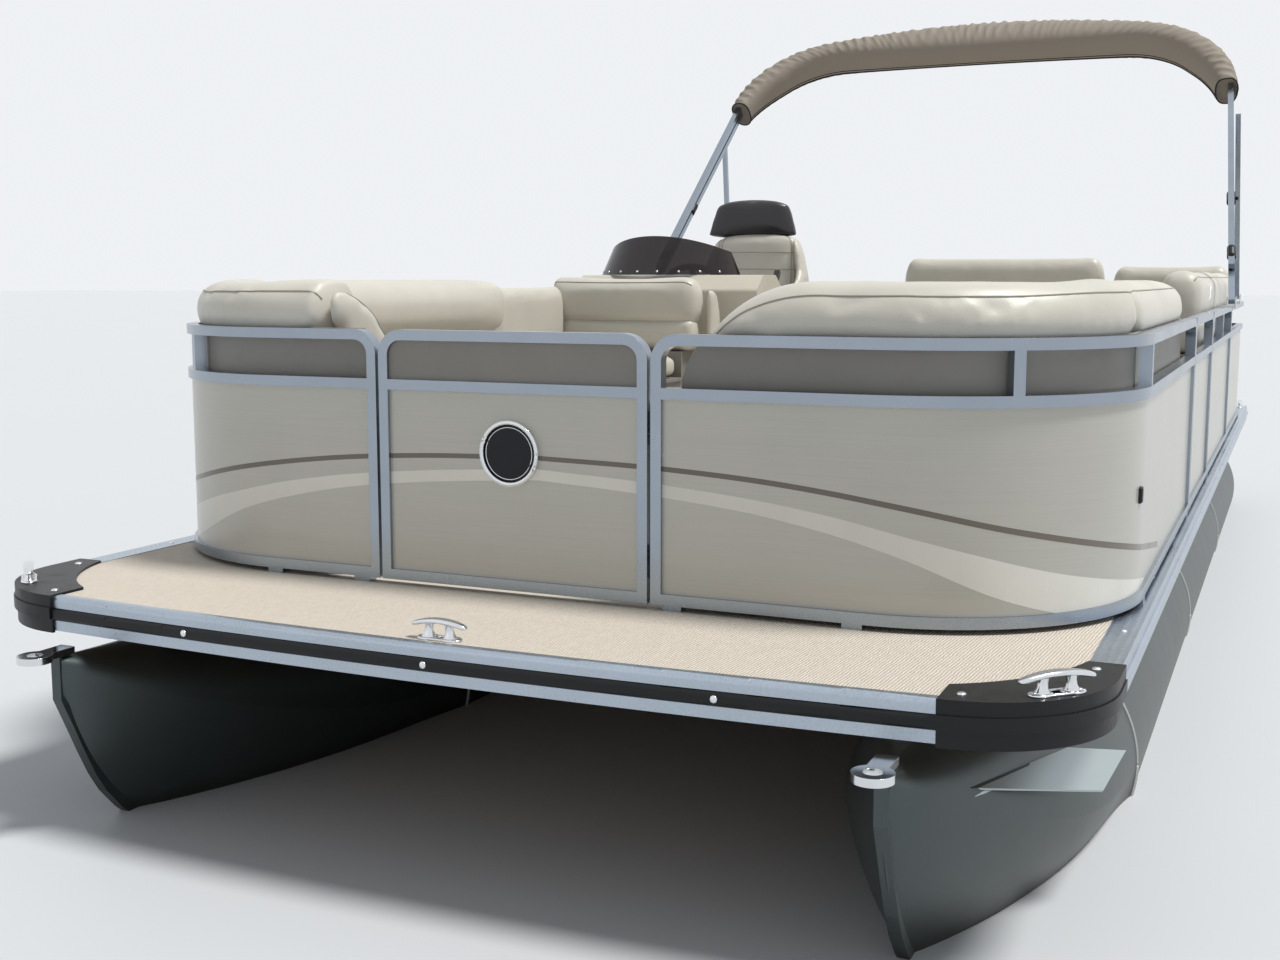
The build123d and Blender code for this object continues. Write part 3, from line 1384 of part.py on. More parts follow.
def make_ladder():
    """Two leaves stacked upright: the upper one turns on the deck's edge, the lower one on the upper."""
    pin_y = deck_length + ladder_behind
    pin_z = deck_top + ladder_pin_rise
    end_z = pin_z + ladder_length
    half = ladder_width / 2
    plate = ladder_plate / 2
    side_gap = 5
    brackets = []
    for side in (-1, 1):
        x = ladder_x + side * (half + ladder_tube / 2 + side_gap + plate)
        seat_z = deck_top + clear
        bracket = block(x - plate, x + plate, deck_length - 70, pin_y + 14, seat_z, pin_z + 14)
        foot_high = deck_length - 10
        bracket = bracket + block(x - plate, x + side * 30, foot_high - 60, foot_high, seat_z, seat_z + 4)
        pin_end = ladder_x + side * (half - ladder_tube / 2)
        brackets.append(bracket + rod((pin_end, pin_y, pin_z), (x, pin_y, pin_z), ladder_pin_radius))
    write("ladder_brackets", *brackets)
    wide = 2 * half
    hole_radius = ladder_pin_radius + running
    hole = rod((ladder_x - wide, pin_y, pin_z), (ladder_x + wide, pin_y, pin_z), hole_radius)
    upper = ladder_frame(pin_z - 13, end_z, pin_y, half)
    fold_y = pin_y - ladder_stack / 2
    fold_z = end_z + 20
    for side in (-1, 1):
        x = ladder_x + side * (half + ladder_tube / 2 + side_gap + plate)
        rail_x = ladder_x + side * half
        ear = block(x - plate, x + plate, fold_y - 12, pin_y + 12, end_z - 40, fold_z + 12)
        link = rod((rail_x, pin_y, end_z - 25), (x, pin_y, end_z - 25), ladder_pin_radius)
        pin = rod((x, fold_y, fold_z), (rail_x - side * 12, fold_y, fold_z), ladder_pin_radius)
        upper = upper + ear + link + pin
    write("ladder_upper", upper - hole)
    lower_half = half - 2
    lower = ladder_frame(pin_z + 80, fold_z + 12, pin_y - ladder_stack, lower_half)
    for side in (-1, 1):
        x = ladder_x + side * lower_half
        lower = lower + block(x - 9, x + 9, pin_y - ladder_stack, fold_y + 10, fold_z - 12, fold_z + 12)
    hole = rod((ladder_x - wide, fold_y, fold_z), (ladder_x + wide, fold_y, fold_z), hole_radius)
    write("ladder_lower", lower - hole)


make_deck()
bumper_strip = make_deck_trim()
make_bumpers(bumper_strip)
make_cleats()
nose_cone = make_pontoons()
make_underframe(nose_cone)
make_pod()
leaves = make_fence()
make_gates(*leaves)
make_seats()
make_console()
make_chair()
make_bimini()
make_motor()
make_ladder()
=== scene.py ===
"""Pontoon boat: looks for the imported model, in metres. X points to port, Y aft, Z up, waterline at 0."""
import json
import math
import bmesh
import bpy
import numpy as np
from mathutils import Matrix, Vector
from mathutils.bvhtree import BVHTree


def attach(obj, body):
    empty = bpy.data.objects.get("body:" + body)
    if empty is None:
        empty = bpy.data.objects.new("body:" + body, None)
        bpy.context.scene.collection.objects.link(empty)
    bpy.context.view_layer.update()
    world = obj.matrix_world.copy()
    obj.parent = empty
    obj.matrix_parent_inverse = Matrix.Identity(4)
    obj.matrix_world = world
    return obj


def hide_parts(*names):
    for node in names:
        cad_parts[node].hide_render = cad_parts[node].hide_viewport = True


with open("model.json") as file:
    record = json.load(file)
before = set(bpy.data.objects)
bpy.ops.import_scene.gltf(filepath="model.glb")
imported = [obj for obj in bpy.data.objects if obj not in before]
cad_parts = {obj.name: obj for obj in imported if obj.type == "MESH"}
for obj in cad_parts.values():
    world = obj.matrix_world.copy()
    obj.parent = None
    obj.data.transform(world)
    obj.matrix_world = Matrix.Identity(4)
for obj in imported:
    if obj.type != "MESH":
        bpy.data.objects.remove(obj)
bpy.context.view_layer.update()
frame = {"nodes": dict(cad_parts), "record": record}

bl_info = {
    "name": "Pontoon Boat",
    "version": (1, 0, 0),
    "blender": (4, 5, 0),
    "location": "View3D > Sidebar > Boat",
    "description": "Seats, canvas, panels, metal finishes and studio for a pontoon boat",
    "category": "Object",
}


def tone(red, green, blue):
    """Screen colour out of 255 as the linear colour that the nodes use."""
    share = np.array((red, green, blue)) / 255
    return tuple(np.where(share <= 0.04045, share / 12.92, ((share + 0.055) / 1.055) ** 2.4).tolist())


def colour(label, text, *screen):
    return bpy.props.FloatVectorProperty(
        name=label, description=text, subtype="COLOR", size=3, min=0, max=1, default=tone(*screen))


def number(label, text, value, **more):
    return bpy.props.FloatProperty(name=label, description=text, default=value, **more)


def length(label, text, value):
    return number(label, text, value, unit="LENGTH", min=0)


class BoatColours(bpy.types.PropertyGroup):
    vinyl: colour("Seat vinyl", "Colour of the cushions and backs", 206, 202, 190)
    dark_vinyl: colour("Dark vinyl", "Colour of the headrest and the wheel", 35, 32, 35)
    seam: colour("Seams", "Colour of the sewn cords", 160, 154, 141)
    shell: colour("Seat shell", "Colour of the moulded seat bases", 133, 130, 124)
    panel: colour("Fence panels", "Colour of the fence and gate panels", 184, 182, 173)
    dark_arc: colour("Thin arc", "Colour of the thin arc on the panels", 106, 98, 88)
    pale_arc: colour("Wide arc", "Colour of the wide arc on the panels", 221, 219, 210)
    canvas: colour("Canvas", "Colour of the packed top", 112, 105, 93)
    floor: colour("Deck floor", "Colour of the woven floor", 222, 214, 201)
    # The rail tint is darker and bluer than the bare metal: painted shade and painted sky reflection over the rails'
    # own satin tint.
    rail: colour("Rails", "Tint of the fence rails", 158, 167, 177)
    tube: colour("Tubes", "Tint of the pontoons", 80, 87, 87)
    rubber: colour("Rubber", "Colour of the bow bumpers", 11, 12, 15)
    motor: colour("Motor", "Colour of the outboard motor", 30, 31, 34)


class BoatSizes(bpy.types.PropertyGroup):
    swell: length("Swell", "Most that a cushion may swell when it is filled", 0.008)
    start_inset: length("Start inset", "How much smaller a cushion starts before it is filled", 0.009)
    voxel: length("Voxel", "Grid of the cushion meshes", 0.02)
    cord: length("Seam cord", "Radius of the sewn cords", 0.0020)
    rail_edge: length("Rail edge", "Width of the rounded edges of rails", 0.004)
    fold: length("Canvas fold", "Depth of the folds in the packed canvas", 0.0095)


class StudioSettings(bpy.types.PropertyGroup):
    place: bpy.props.FloatVectorProperty(
        name="Camera place", description="Where the camera stands", subtype="TRANSLATION", size=3,
        default=(1.577, -2.458, 1.268))
    yaw: number("Yaw", "Turn to starboard of the view", 0.4225, subtype="ANGLE")
    pitch: number("Pitch", "Tilt down of the view", 0.1256, subtype="ANGLE")
    focal: number("Focal length", "In pixels of a picture 1280 wide", 1476.3, min=100)
    centre: bpy.props.FloatVectorProperty(
        name="Picture centre", description="Pixel that the camera's axis meets", size=2, default=(638.6, 465.0))
    sun: number("Key light", "Strength of the key light", 3.1, min=0)
    ambient: number("Ambient", "Strength of the even light", 0.40, min=0)
    ground: colour("Ground", "Colour of the studio floor", 205, 208, 211)


def chosen():
    scene = bpy.context.scene
    return scene.boat_colours, scene.boat_sizes, scene.boat_studio


# Lines and meshes from arrays

STEP = 0.01  # spacing of the points of a line


def placed(name, data):
    """New object in the scene."""
    item = bpy.data.objects.new(name, data)
    bpy.context.scene.collection.objects.link(item)
    return item


def put_mesh(name, points, faces, smooth=True):
    """Mesh object from an array of points and a list of faces, all turned outwards."""
    mesh = bpy.data.meshes.new(name)
    mesh.from_pydata(points.tolist(), [], faces)
    work = bmesh.new()
    work.from_mesh(mesh)
    bmesh.ops.remove_doubles(work, verts=work.verts, dist=1e-6)
    bmesh.ops.recalc_face_normals(work, faces=work.faces)
    work.to_mesh(mesh)
    work.free()
    if smooth:
        mesh.shade_smooth()
    return placed(name, mesh)


def skins(name, shapes, smooth=True):
    """Closed skins, each an array of rings; the first and the last ring close on their middles."""
    points, faces, first = [], [], 0
    for rings in shapes:
        rows, columns = rings.shape[:2]
        points.append(np.vstack([rings.reshape(-1, 3), rings[[0, -1]].mean(axis=1)]))
        row, index = np.meshgrid(np.arange(rows - 1), np.arange(columns), indexing="ij")
        a = first + row * columns + index
        b = first + row * columns + (index + 1) % columns
        faces += np.stack([a, b, b + columns, a + columns], -1).reshape(-1, 4).tolist()
        index = np.arange(columns)
        after = (index + 1) % columns
        last, pole = first + (rows - 1) * columns, first + rows * columns
        faces += np.stack([first + after, first + index, np.full(columns, pole)], -1).tolist()
        faces += np.stack([last + index, last + after, np.full(columns, pole + 1)], -1).tolist()
        first = pole + 2
    return put_mesh(name, np.vstack(points), faces, smooth)


def joined(*parts):
    """Points from their coordinates, each an array or one number for all."""
    return np.stack(np.broadcast_arrays(*parts), -1)


def steps(path):
    return np.linalg.norm(np.diff(path, axis=0), axis=1)


def span(path):
    return steps(path).sum()


def travelled(path):
    """Distance run at each point of a line."""
    return np.concatenate([[0], np.cumsum(steps(path))])


def read_off(table, run, wanted):
    """Columns of a table, whose rows stand at the distances of run, read off at the wanted distances."""
    return np.stack([np.interp(wanted, run, column) for column in table.T], -1)


def along(path, count):
    """Points spaced evenly along a line of points."""
    run = travelled(path)
    return read_off(path, run, np.linspace(0, run[-1], count))


def looped(line):
    return np.vstack([line, line[:1]])


def spread(values, count):
    """A number, or an array of any length, as an array of count values."""
    values = np.atleast_1d(np.asarray(values, float))
    size = max(len(values), 2)
    return np.interp(np.linspace(0, 1, count), np.linspace(0, 1, size), np.resize(values, size))


def ease(share):
    """3t^2 - 2t^3, which starts and ends level."""
    return share**2 * (3 - 2 * share)


def eased(values, count):
    """Rows of a table joined by smooth curves, each point a blend of its two rows by 3t^2 - 2t^3."""
    values = np.asarray(values, float)
    place = np.linspace(0, len(values) - 1, count)
    low = np.minimum(place.astype(int), len(values) - 2)
    share = ease(place - low)[:, None]
    return values[low] * (1 - share) + values[low + 1] * share


def circle(count):
    """Angles round a circle."""
    return np.linspace(0, 2 * np.pi, count, endpoint=False)


def squared(angle, power):
    """Cosine and sine of an angle, each raised to a power with its sign kept: the sides of a superellipse."""
    return [np.sign(part) * np.abs(part) ** power for part in (np.cos(angle), np.sin(angle))]


def tube(path, radius, sides=8, bumps=0.0):
    """Round bar along a line: a circle carried square to it. Bumps of a weld's pitch vary its radius."""
    pitch = 0.008
    ahead = np.gradient(path, axis=0)
    ahead /= np.linalg.norm(ahead, axis=1)[:, None] + 1e-12
    side = np.cross(ahead, np.where(np.abs(ahead[:, 2:]) > 0.9, [[1.0, 0, 0]], [[0, 0, 1.0]]))
    side /= np.linalg.norm(side, axis=1)[:, None]
    up = np.cross(side, ahead)
    angle = circle(sides)[None, :, None]
    size = radius * (1 + bumps * np.abs(np.sin(np.pi * travelled(path) / pitch)))[:, None, None]
    return path[:, None] + size * (np.cos(angle) * side[:, None] + np.sin(angle) * up[:, None])


def turned(profile, middle, axis, sides=32):
    """Round piece: a profile of (radius, height) turned about an axis."""
    axis = np.asarray(axis, float) / np.linalg.norm(axis)
    side = np.cross(axis, (1.0, 0, 0) if abs(axis[0]) < 0.9 else (0, 1.0, 0))
    side /= np.linalg.norm(side)
    angle = circle(sides)[:, None]
    rim = np.cos(angle) * side + np.sin(angle) * np.cross(axis, side)
    radius, height = np.asarray(profile, float).T[:, :, None, None]
    return np.asarray(middle) + radius * rim + height * axis


def dome(middle, axis, radius, rise):
    """Screw head: a flat dome on a short skirt."""
    angle = np.linspace(0, np.pi / 2, 4)
    rows = [(radius, -0.002)] + [(radius * math.cos(a) + 1e-4, rise * math.sin(a)) for a in angle]
    return turned(rows, middle, axis, 10)


def slab(low, high, edge):
    """Box with chamfered edges as rings along Z."""
    rings = []
    for z, inset in ((low[2], edge), (low[2] + edge, 0), (high[2] - edge, 0), (high[2], edge)):
        x0, x1, y0, y1 = low[0] + inset, high[0] - inset, low[1] + inset, high[1] - inset
        rings.append([
            (x0 + edge, y0, z), (x1 - edge, y0, z), (x1, y0 + edge, z), (x1, y1 - edge, z),
            (x1 - edge, y1, z), (x0 + edge, y1, z), (x0, y1 - edge, z), (x0, y0 + edge, z)])
    return np.array(rings)


def finish(piece, body, skin, node=None):
    """Material, body, slot and the node that a piece stands for. The slot is named after the material."""
    piece.data.materials.append(bpy.data.materials[skin])
    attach(piece, body)
    if node:
        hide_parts(node)


def add_skins(name, shapes, body, skin, node=None, smooth=True):
    finish(skins(name, shapes, smooth), body, skin, node)


# Plan of the fence, whose outside turns each bow corner

HALF, FRONT, CORNER, RAIL_TOP = 1.275, 0.485, 0.510, 1.149


def fence_line(start_x, end_y, inset, side=1):
    """Line from a point on the bow run round the corner to a point on the side, moved inboard by inset."""
    radius = CORNER - inset
    x, y = HALF - CORNER, FRONT + CORNER
    angle = np.linspace(0, np.pi / 2, 60)
    path = np.vstack([
        (start_x, FRONT + inset), joined(x + radius * np.sin(angle), y - radius * np.cos(angle)),
        (HALF - inset, max(end_y, y + 1e-4))])
    return along(path, max(int(span(path) / STEP), 2)) * [side, 1]


# Padded pieces

BACK_DEEP = 0.165
COLUMNS = 44
welts = {}


def pad_rings(outer, inner, up, low, high, rounding, power, crown, overhang, start):
    """Cushion as rings along a run between two edge lines.

    Each ring is a superellipse |a|^p + |b|^p = 1, wide from edge to edge and high from low to high, with a
    crown that rises by 1 - a^2 on top. Near both ends the ring shrinks by (1 - (1 - d/r)^q)^(1/q). Above the
    top rail the outer side moves out by the overhang, eased by 3t^2 - 2t^3."""
    middle = (outer + inner) / 2
    total = span(middle)
    rounding = min(rounding, total * 0.45)
    start = rounding if start is None else start
    bend = 1 - np.cos(np.linspace(0.16, np.pi / 2, 7))
    inside = np.linspace(start, total - rounding, max(int(total / 0.03), 4))[1:-1]
    rows = np.concatenate([start * bend, inside, (total - rounding * bend)[::-1]])
    data = read_off(np.hstack([outer, inner, up, low[:, None], high[:, None]]), travelled(middle), rows)
    outer, inner, up, low, high = data[:, :3], data[:, 3:6], data[:, 6:9], data[:, 9], data[:, 10]
    near = np.clip(np.minimum(rows / start, (total - rows) / rounding), 0, 1)
    shrink = (1 - (1 - near) ** 2.4) ** (1 / 2.4)
    a, b = squared(circle(COLUMNS), 2 / power)
    half = (outer - inner) / 2 * shrink[:, None]
    rise = (high - low) / 2 * shrink
    level = (high + low)[:, None] / 2 + rise[:, None] * b + crown * shrink[:, None] * (1 - a**2) * (b > 0)
    out = ease(np.clip((level - RAIL_TOP + 0.004) / 0.022, 0, 1)) * np.maximum(a, 0) * overhang
    half = half[:, None] * (1 + (out / (BACK_DEEP / 2))[..., None])
    return (outer + inner)[:, None] / 2 + half * a[None, :, None] + up[:, None] * level[..., None]


def fill_pad(piece, voxel, swell):
    """Filling: the cushion is remeshed, blown up as cloth for 20 frames and held to a most swell."""
    scene = bpy.context.scene
    bpy.ops.object.select_all(action="DESELECT")
    piece.select_set(True)
    bpy.context.view_layer.objects.active = piece
    piece.data.remesh_voxel_size = voxel
    bpy.ops.object.voxel_remesh()
    before, after = np.zeros((2, len(piece.data.vertices) * 3), np.float32)
    piece.data.vertices.foreach_get("co", before)
    cloth = piece.modifiers.new("filling", "CLOTH")
    cloth.settings.quality = 3
    cloth.settings.use_pressure = True
    cloth.settings.uniform_pressure_force = 4
    cloth.settings.effector_weights.gravity = 0
    cloth.point_cache.frame_start, cloth.point_cache.frame_end = 1, 20
    for number in range(1, 21):
        scene.frame_set(number)
    piece.evaluated_get(bpy.context.evaluated_depsgraph_get()).data.vertices.foreach_get("co", after)
    piece.modifiers.remove(cloth)
    scene.frame_set(1)
    move = (after - before).reshape(-1, 3)
    move *= np.minimum(1, swell / (np.linalg.norm(move, axis=1)[:, None] + 1e-9))
    piece.data.vertices.foreach_set("co", before + move.ravel())
    piece.data.update()


def laid_on(tree, points, lift):
    """Points moved to the nearest place on a surface, a little proud of it."""
    found = [tree.find_nearest(Vector(p)) for p in points]
    return np.array([list(hit[0] + hit[1] * lift * 0.35) for hit in found])


def pad(name, body, node, lines, low, high, up=(0, 0, 1), rounding=0.05, power=4.6, crown=0.006,
        seams=(), edges=(), skin="seat vinyl", overhang=0.0, start=None):
    """Cushion between two edge lines, with a cord round it at each seam and along each edge angle."""
    sizes = chosen()[1]
    inset = sizes.start_inset
    count = max(*[int(span(np.asarray(line, float)) / STEP) for line in lines], 12)
    outer, inner = [along(np.asarray(line, float), count) for line in lines]
    if outer.shape[1] == 2:
        outer, inner = [np.hstack([line, np.zeros((count, 1))]) for line in (outer, inner)]
    up = np.broadcast_to(np.asarray(up, float), (count, 3))
    across = outer - inner
    across /= np.linalg.norm(across, axis=1)[:, None]
    outer, inner = outer - across * inset, inner + across * inset
    low = spread(low, count) + inset * 0.5
    high = np.maximum(spread(high, count) - inset, low + 0.02)
    ahead = np.gradient((outer + inner) / 2, axis=0)
    ahead /= np.linalg.norm(ahead, axis=1)[:, None]
    for line in (outer, inner):
        line[0] += ahead[0] * inset
        line[-1] -= ahead[-1] * inset
    rings = pad_rings(outer, inner, up, low, high, rounding, power, crown, overhang, start)
    piece = skins(name, [rings])
    fill_pad(piece, sizes.voxel, sizes.swell)
    smooth = piece.modifiers.new("smooth", "SUBSURF")
    smooth.levels = smooth.render_levels = 1
    piece.data.shade_smooth()
    tree = BVHTree.FromObject(piece, bpy.context.evaluated_depsgraph_get())
    cords = welts.setdefault(body, [])
    for share in seams:
        cords.append(looped(laid_on(tree, rings[int(share * (len(rings) - 1))], sizes.cord)))
    for angle in edges:
        line = rings[3:-3, int(angle * COLUMNS / 2) % COLUMNS]
        cords.append(laid_on(tree, along(line, max(int(span(line) / 0.02), 8)), sizes.cord))
    finish(piece, body, skin, node)


# Shared effects of the materials


class Nodes:
    """Short calls for adding nodes to a tree, whose patterns start from its vector."""

    def __init__(self, tree, vector=None, sockets=None):
        self.tree, self.vector, self.sockets = tree, vector, sockets

    def feed(self, socket, value):
        if isinstance(value, bpy.types.NodeSocket):
            self.tree.links.new(value, socket)
        else:
            socket.default_value = value

    def new(self, kind, inputs, **settings):
        """Node with its settings and its inputs, by name or number; gives its outputs."""
        node = self.tree.nodes.new("ShaderNode" + kind)
        for key, value in settings.items():
            setattr(node, key, value)
        for key, value in inputs.items():
            self.feed(node.inputs[key.replace("_", " ") if isinstance(key, str) else key], value)
        return node.outputs

    def sums(self, operation, *values):
        return self.new("Math", dict(enumerate(values)), operation=operation)[0]

    def plus(self, *values):
        return self.sums("ADD", *values)

    def times(self, *values):
        return self.sums("MULTIPLY", *values)

    def mixed(self, share, first, second):
        return self.new("Mix", {0: share, 6: first, 7: second}, data_type="RGBA")[2]

    def toned(self, share, base, low, high):
        """Between two shades of a colour."""
        return self.mixed(share, shaded(base, low), shaded(base, high))

    def ranged(self, value, low, high, to_low=0.0, to_high=1.0):
        ends = {"From_Min": low, "From_Max": high, "To_Min": to_low, "To_Max": to_high}
        return self.new("MapRange", {"Value": value, **ends})[0]

    def axes(self, vector=None):
        return self.new("SeparateXYZ", {0: vector or self.vector})

    def turned(self, angle):
        return self.new("VectorRotate", {"Vector": self.vector, "Angle": angle}, rotation_type="Z_AXIS")[0]

    def noise(self, scale, detail=3.0, roughness=0.55, stretch=None, vector=None):
        vector = vector or self.vector
        if stretch:
            vector = self.new("Mapping", {"Vector": vector, "Scale": stretch})[0]
        return self.new("TexNoise", {"Vector": vector, "Scale": scale, "Detail": detail, "Roughness": roughness})[0]

    def effect(self, name, **inputs):
        return self.new("Group", {"Vector": self.vector, **inputs}, node_tree=bpy.data.node_groups[name])

    def marks(self, **inputs):
        return self.effect("Handling Marks", **inputs)["Marks"]

    def cover(self, base, rough=None, height=None, strength=0.0, distance=0.0):
        """Base colour, roughness and bump of the surface."""
        self.feed(self.sockets["Base Color"], base)
        if rough:
            self.feed(self.sockets["Roughness"], rough)
        if height:
            bump = self.new("Bump", {"Height": height, "Strength": strength, "Distance": distance})
            self.feed(self.sockets["Normal"], bump[0])


def shaded(base, factor):
    return (*[min(channel * factor, 1) for channel in base], 1)


def effect_tree(name, outputs, **inputs):
    """Empty node group with a vector, its other inputs and its outputs."""
    tree = bpy.data.node_groups.new(name, "ShaderNodeTree")
    tree.interface.new_socket(name="Vector", in_out="INPUT", socket_type="NodeSocketVector")
    for label, default in inputs.items():
        kind = "NodeSocketVector" if isinstance(default, tuple) else "NodeSocketFloat"
        tree.interface.new_socket(name=label, in_out="INPUT", socket_type=kind).default_value = default
    for label in outputs:
        tree.interface.new_socket(name=label, in_out="OUTPUT", socket_type="NodeSocketFloat")
    given = tree.nodes.new("NodeGroupInput").outputs
    return Nodes(tree, given["Vector"]), given, tree.nodes.new("NodeGroupOutput").inputs


def make_effects():
    """Grain, drawn metal, weave, handling marks, water marks and tread, each a node group."""
    n, given, out = effect_tree("Hide Grain", ("Height", "Shade"), Scale=260.0)
    cells = n.new("TexVoronoi", {"Vector": n.vector, "Scale": given["Scale"]})[0]
    n.feed(out["Height"], n.plus(n.times(cells, 0.7), n.times(n.noise(900.0, 2.0), 0.3)))
    n.feed(out["Shade"], n.ranged(n.noise(3.2, 4.0), 0.35, 0.68))

    n, given, out = effect_tree("Drawn Metal", ("Streak", "Height"), Stretch=(6.0, 6.0, 400.0))
    lines = n.noise(1.0, 5.0, 0.65, given["Stretch"])
    n.feed(out["Streak"], n.ranged(n.plus(n.times(lines, 0.6), n.times(n.noise(5.0, 4.0), 0.4)), 0.35, 0.65))
    n.feed(out["Height"], lines)

    n, given, out = effect_tree("Cloth Weave", ("Height", "Thread"), Pitch=0.004, Slant=0.0)
    slanted = n.turned(given["Slant"])
    axes = n.axes(slanted)
    rate = n.sums("DIVIDE", 2 * math.pi, given["Pitch"])
    across, down = [n.sums("SINE", n.times(axes[i], rate)) for i in (0, 1)]
    over = n.times(across, down)
    n.feed(out["Height"], n.plus(n.sums("ABSOLUTE", across), n.times(over, 0.5)))
    n.feed(out["Thread"], n.ranged(n.plus(over, n.noise(240.0, 2.0, vector=slanted)), -0.4, 1.4))

    n, given, out = effect_tree("Handling Marks", ("Marks",), Scale=14.0)
    n.feed(out["Marks"], n.ranged(n.noise(given["Scale"], 8.0, 0.7), 0.52, 0.78))

    n, given, out = effect_tree("Water Marks", ("Film", "Runs"), Level=0.10)
    edge = n.times(n.noise(2.0, 5.0, stretch=(3.0, 3.0, 0.6)), given["Level"])
    n.feed(out["Film"], n.ranged(n.axes()[2], edge, 0.0))
    n.feed(out["Runs"], n.ranged(n.noise(1.0, 4.0, 0.6, (8.0, 8.0, 1.4)), 0.4, 0.8))

    n, given, out = effect_tree("Tread Studs", ("Height",), Pitch=0.02)
    rate = n.sums("DIVIDE", 1.0, given["Pitch"])
    scaled = n.new("VectorMath", {"Vector": n.vector, "Scale": rate}, operation="SCALE")[0]
    studs = n.new("TexVoronoi", {"Vector": scaled, "Scale": 1.0, "Randomness": 0.12}, voronoi_dimensions="2D")[0]
    n.feed(out["Height"], n.ranged(studs, 0.34, 0.12))


def surface(name, base, rough, metal=0.0, **plain):
    """New material with its shader's plain values set."""
    material = bpy.data.materials.new(name)
    material.use_nodes = True
    material.diffuse_color = (*base, 1)
    n = Nodes(material.node_tree, sockets=material.node_tree.nodes["Principled BSDF"].inputs)
    plain.update({"Base_Color": (*base, 1), "Roughness": rough, "Metallic": metal})
    for key, value in plain.items():
        n.feed(n.sockets[key.replace("_", " ")], value)
    n.vector = n.new("TexCoord", {})["Object"]
    return n


def make_vinyl(name, base, rough):
    n = surface(name, base, rough, Coat_Weight=0.12, Coat_Roughness=0.35)
    grain = n.effect("Hide Grain")
    hide = n.toned(grain["Shade"], base, 0.93, 1.04)
    n.cover(n.mixed(n.times(n.marks(Scale=9.0), 0.25), hide, shaded(base, 0.8)),
            n.ranged(grain["Shade"], 0, 1, rough - 0.05, rough + 0.08), grain["Height"], 0.35, 0.0006)


def make_metal(name, base, rough, stretch, metal=1.0, marks=0.3, depth=0.0002):
    n = surface(name, base, rough, metal)
    drawn = n.effect("Drawn Metal", Stretch=stretch)
    plain = n.toned(drawn["Streak"], base, 0.95, 1.03)
    n.cover(n.mixed(n.times(n.marks(), marks), plain, shaded(base, 0.7)),
            n.ranged(drawn["Streak"], 0, 1, rough - 0.04, rough + 0.05), drawn["Height"], 0.05, depth)


def make_tube_metal(name, base, rough):
    """Weathered aluminium of the pontoons: satin, run with water, darker at the waterline, with the fins painted
    bright as a painted highlight of their lit top faces.

    The fins are where a point lies within their half thickness of their middle plane and outboard of their
    root, which leaves the cone by a steady slope up to the tube's side."""
    slope, normal, offset, half = 0.26, (0.5938, -0.0945, 0.7989), 0.3129, 0.0062
    n = surface(name, base, rough, 0.85)
    drawn = n.effect("Drawn Metal", Stretch=(5.0, 2.0, 5.0))
    water = n.effect("Water Marks")
    x, y, z = n.axes()[:]
    outboard = n.sums("SUBTRACT", n.sums("ABSOLUTE", x), TUBE_X)
    away = n.plus(n.plus(n.times(outboard, normal[0]), n.times(z, normal[2])), n.times(y, normal[1]))
    near = n.sums("LESS_THAN", n.sums("ABSOLUTE", n.sums("SUBTRACT", away, offset)), half)
    root = n.sums("MINIMUM", n.plus(n.times(y, slope), 0.067), 0.176)
    painted_fin_highlight = n.times(near, n.sums("GREATER_THAN", outboard, root))
    plain = n.toned(drawn["Streak"], base, 0.95, 1.05)
    runs = n.mixed(n.times(water["Runs"], 0.05), plain, shaded(base, 1.4))
    # Painted highlight: the fins take a pale colour that stands for their lit top faces.
    runs = n.mixed(painted_fin_highlight, runs, (*tone(176, 186, 188), 1))
    n.cover(n.mixed(n.times(water["Film"], 0.75), runs, (*tone(62, 62, 48), 1)),
            n.ranged(water["Runs"], 0, 1, rough - 0.01, rough + 0.02), drawn["Height"], 0.03, 0.001)


def make_plastic(name, base, rough, depth=0.0003, scale=500.0, marks=0.2, **plain):
    n = surface(name, base, rough, **plain)
    grain, worn = n.effect("Hide Grain", Scale=scale), n.marks()
    n.cover(n.mixed(n.times(worn, marks), n.toned(grain["Shade"], base, 0.94, 1.05), shaded(base, 0.75)),
            n.ranged(worn, 0, 1, rough, min(rough + 0.15, 1)), grain["Height"], 0.25, depth)


def make_panel_skin(base):
    """Painted sheet: fine brushed lines lengthways under a clear coat."""
    n = surface("panel skin", base, 0.34, 0.25, Coat_Weight=0.35, Coat_Roughness=0.12)
    drawn = n.effect("Drawn Metal", Stretch=(3.0, 3.0, 240.0))
    body = n.toned(drawn["Streak"], base, 0.95, 1.04)
    n.cover(n.mixed(n.times(n.marks(Scale=5.0), 0.18), body, shaded(base, 0.84)),
            n.ranged(drawn["Streak"], 0, 1, 0.30, 0.42), drawn["Height"], 0.1, 0.0002)


def make_floor_weave(base):
    """Woven vinyl floor: ribs that run fore and aft, broken into short stitches, with flecked threads."""
    rib = 0.0068
    n = surface("floor weave", base, 0.7)
    wave = n.turned(0.07)
    wobble = n.times(n.noise(1.0, 2.0, stretch=(30.0, 55.0, 1.0), vector=wave), 0.006)
    ribs = n.sums("SINE", n.times(n.plus(n.axes(wave)[0], wobble), 2 * math.pi / rib))
    fleck = n.ranged(n.noise(1.0, 2.0, stretch=(420.0, 60.0, 1.0), vector=wave), 0.38, 0.66)
    thread = n.toned(n.ranged(ribs, -0.9, 0.5), base, 0.66, 1.03)
    n.cover(n.mixed(n.times(fleck, 0.42), thread, (*tone(182, 166, 146), 1)), None,
            n.plus(ribs, n.times(fleck, -0.8)), 0.5, 0.0012)


